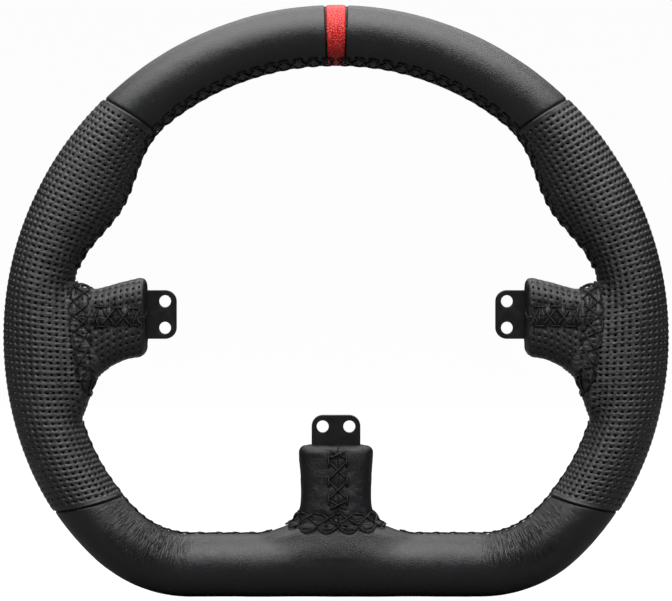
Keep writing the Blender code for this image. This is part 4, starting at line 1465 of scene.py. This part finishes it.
def powder_look():
    """Satin powder coat: fine orange peel, faint scuffs and slightly paler worn spots."""
    look = Look("powder_coat")
    look.colour(look.noise(9.0, 5.0), (0.3, (0.003, 0.003, 0.0032)), (0.8, 0.0055))
    look.rough(look.noise(4.0, 6.0), 0.28, 0.42)
    look.bump(look.noise(0.45, 2.0), 0.02)
    return look.material


def steel_look():
    """Bright drawn steel rod, dulled in patches."""
    look = Look("drawn_steel", metallic=1.0)
    look.colour(look.noise(6.0, 5.0), (0.3, (0.3, 0.3, 0.31)), (0.8, 0.5))
    look.rough(look.noise(1.5, 5.0), 0.3, 0.55)
    look.bump(look.noise(0.6, 4.0), 0.02)
    return look.material


def foam_look():
    """Black moulded foam with fine open cells."""
    look = Look("moulded_foam")
    look.colour(look.pebbles(1.1), (0.2, 0.012), (0.8, 0.03))
    look.rough(look.noise(1.0), 0.8, 0.95)
    look.bump(look.pebbles(0.8), 0.2)
    return look.material


SMOOTH_LEATHER = leather_look(
    "smooth_leather", (0.0058, 0.0061, 0.0072), (0.0105, 0.0108, 0.0125), 0.75, 0.05, SATIN, fold=1.1
)
# Darker copies of the perforated and smooth leathers, for the spoke covers: painted shade.
SHADED_PUNCHED_COVER = leather_look(
    "perforated_painted_shade_cover", (0.005, 0.0053, 0.0062), (0.011, 0.0113, 0.0128), 0.6, 0.06, SHINY,
    gloss=0.55, fold=0.4, rib=0.04,
)
SHADED_COVER_LEATHER = leather_look(
    "painted_shade_cover", (0.0045, 0.0048, 0.0056), (0.008, 0.0083, 0.0095), 0.75, 0.06, SATIN,
    gloss=0.36, fold=0.5,
)
PUNCHED_LEATHER = leather_look(
    "perforated_leather", (0.006, 0.0063, 0.0072), (0.013, 0.0133, 0.0148), 0.6, 0.06, SHINY,
    gloss=0.66, fold=0.3, rib=0.05,
)
RED_LEATHER = leather_look("red_leather", (0.42, 0.004, 0.003), (0.8, 0.014, 0.006), 1.3, 0.26, (0.34, 0.48))
PAINTED_SHADE_PIT = painted_shade_pit_look()
THREAD = thread_look()
POWDER_COAT = powder_look()


# ---- The whole wheel ----


def build_rim():
    half = JOINT_GAP / 2
    smooth, punched = (SMOOTH_LEATHER, "smooth_leather"), (PUNCHED_LEATHER, "perforated_leather")
    stripe = ((-STRIPE_HALF, 0.0), (STRIPE_HALF, 0.0))
    rim_leather(
        "stripe_leather", "centre_stripe", *stripe, RED_LEATHER, "red_leather", lift=STRIPE_LIFT, relief=0.4
    )
    for word in ("right", "left"):
        top = (shifted(STRIPE_JOINT, half), shifted(UPPER_JOINT, -half))
        grip = (shifted(UPPER_JOINT, half), shifted(LOWER_JOINT, -half))
        if word == "left":
            top, grip = ((mirrored(end), mirrored(start)) for start, end in (top, grip))
        rim_leather(f"top_{word}_leather", f"top_{word}_panel", *top, *smooth)
        rim_leather(f"{word}_grip_leather", f"{word}_grip_panel", *grip, *punched, word, GRIP_LIFT)
    far = (2 * HALF_LENGTH - LOWER_JOINT[0] - half, -LOWER_JOINT[1])
    rim_leather(
        "bottom_leather", "bottom_panel", shifted(LOWER_JOINT, half), far, *smooth, "bottom", BOTTOM_LIFT
    )


def build_spokes():
    """The tabs and the spokes' stitching; returns what each spoke's leather is made from."""
    chance = np.random.default_rng(SEED + 1)
    covers = []
    for spoke in ("left", "bottom", "right"):
        surface, first, rows = cover_surface(spoke)
        spoke_lacing(spoke, chance)
        root_lacing(spoke, surface, rows, chance)
        covers.append((spoke, surface, first, rows))
    for spoke in ("left", "right", "bottom"):
        steel_tab(spoke)
    return covers


def build_rim_threads():
    chance = np.random.default_rng(SEED + 2)
    for side, word in ((1, "right"), (-1, "left")):
        rim_lacing(f"upper_{word}_stitching", f"upper_{word}_lacing", *UPPER_LACING, side, chance)
        rim_lacing(f"lower_{word}_stitching", f"lower_{word}_lacing", *LOWER_LACING, side, chance)
        for name, joint in (("stripe", STRIPE_JOINT), ("upper", UPPER_JOINT), ("lower", LOWER_JOINT)):
            seam = f"{name}_{word}_seam"
            joint_thread(f"{seam}_thread", seam, joint if side > 0 else mirrored(joint))


def dress_hidden_nodes():
    """The frame's own foam core and steel rod stay, with finished materials."""
    for node, look in (("foam_core", foam_look()), ("rim_armature", steel_look())):
        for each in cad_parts[node].material_slots:
            each.material = look


# ---- Floor, backdrop, lights and camera ----

FRAME_WIDTH = 0.30325  # what the camera's frame spans at the rim
FRAME_MIDDLE_Z = 0.0063
LENS = 150.0
SENSOR = 36.0
FLOOR_GAP = 0.0015
SWEEP_RADIUS = 1.2
SWEEP_Y = 3.6
SWEEP_STEPS = 16
STAGE_HALF = 5.0
PAPER_GLOW = 1.1
PAPER_SHARE = 0.12  # of the paper's own shading in what the camera sees
PAPER_SEEN_BY_WHEEL = (0.12, 0.12, 0.12, 1.0)
WORLD_COLOUR = (0.9, 0.95, 1.0, 1.0)
WORLD_STRENGTH = 0.035
CLIPPING = (0.05, 30.0)
LIGHTS = {  # place, aim, size, watts
    "top_softbox": ((0.0, -0.62, 1.04), (0.0, -0.62, 0.0), (2.0, 1.86), 63.0),
    "rear_softbox": ((0.0, 1.3, 1.4), (0.0, 0.2, 0.0), (2.0, 1.2), 16.0),
}


def seen_or_not(tree, unseen, seen, output):
    """Shows the camera one shader, and lets all other light meet the other."""
    path = tree.nodes.new("ShaderNodeLightPath")
    mixed = tree.nodes.new("ShaderNodeMixShader")
    tree.links.new(path.outputs["Is Camera Ray"], mixed.inputs[0])
    tree.links.new(unseen.outputs[0], mixed.inputs[1])
    tree.links.new(seen.outputs[0], mixed.inputs[2])
    tree.links.new(mixed.outputs[0], tree.nodes[output].inputs["Surface"])


def stage_look():
    """Pale paper that stays bright in every view, but throws little light up at the wheel."""
    look = Look("pale_paper", 0.9)
    look.colour(look.noise(400.0, 2.0), (0.3, 0.88), (0.7, 0.9))
    look.bump(look.noise(3.0), 0.05)
    glow = look.node("ShaderNodeEmission", {"Strength": PAPER_GLOW})
    dull = look.node("ShaderNodeBsdfDiffuse", {"Color": PAPER_SEEN_BY_WHEEL})
    pale = look.node("ShaderNodeMixShader", {0: PAPER_SHARE})
    look.join(glow.outputs[0], pale.inputs[1])
    look.join(look.shader.outputs[0], pale.inputs[2])
    seen_or_not(look.tree, dull, pale, "Material Output")
    return look.material


def build_stage():
    """A pale floor that sweeps up into a pale wall far behind the wheel."""
    floor_z = CAD_LOW.z - FLOOR_GAP
    start = SWEEP_Y - SWEEP_RADIUS
    profile = [(-STAGE_HALF, floor_z), (start, floor_z)]
    for turn in np.radians(np.linspace(0.0, 90.0, SWEEP_STEPS + 1)[1:]):
        rise = SWEEP_RADIUS * (1 - math.cos(turn))
        profile.append((start + SWEEP_RADIUS * math.sin(turn), floor_z + rise))
    profile.append((SWEEP_Y, floor_z + STAGE_HALF))
    points = [(x, y, z) for x in (-STAGE_HALF, STAGE_HALF) for y, z in profile]
    size = len(profile)
    faces = [(i, i + 1, size + i + 1, size + i) for i in range(size - 1)]
    floor = mesh_object("studio_sweep", np.array(points) / MM, faces)
    floor.data.materials.append(stage_look())


def area_light(name, place, aim, size, watts):
    data = bpy.data.lights.new(name, "AREA")
    data.shape = "RECTANGLE"
    data.size, data.size_y = size
    data.energy = watts
    lamp = linked(name, data)
    lamp.location = place
    lamp.rotation_euler = (Vector(aim) - Vector(place)).to_track_quat("-Z", "Y").to_euler()


def build_lights():
    for name, (place, aim, size, watts) in LIGHTS.items():
        area_light(name, place, aim, size, watts)


def build_world():
    """Dim even light all round; the camera sees it as white."""
    world = bpy.data.worlds.new("studio")
    bpy.context.scene.world = world
    world.use_nodes = True
    dim = world.node_tree.nodes["Background"]
    dim.inputs["Color"].default_value = WORLD_COLOUR
    dim.inputs["Strength"].default_value = WORLD_STRENGTH
    white = world.node_tree.nodes.new("ShaderNodeBackground")
    white.inputs["Color"].default_value = (1.0, 1.0, 1.0, 1.0)
    seen_or_not(world.node_tree, dim, white, "World Output")


def build_camera():
    data = bpy.data.cameras.new("camera")
    data.lens = LENS
    data.sensor_width = SENSOR
    data.clip_start, data.clip_end = CLIPPING
    camera = linked("camera", data)
    distance = FRAME_WIDTH * LENS / SENSOR
    camera.location = (0.0, RIM_MID_Y * MM - distance, FRAME_MIDDLE_Z)
    camera.rotation_euler = (math.pi / 2, 0.0, 0.0)
    bpy.context.scene.camera = camera


COVERS = build_spokes()
build_rim_threads()
THREAD_TREE = thread_tree()
build_rim()
for cover in COVERS:
    spoke_leather(*cover)
dress_hidden_nodes()
build_stage()
build_lights()
build_world()
build_camera()
bpy.context.scene.view_settings.view_transform = "Standard"
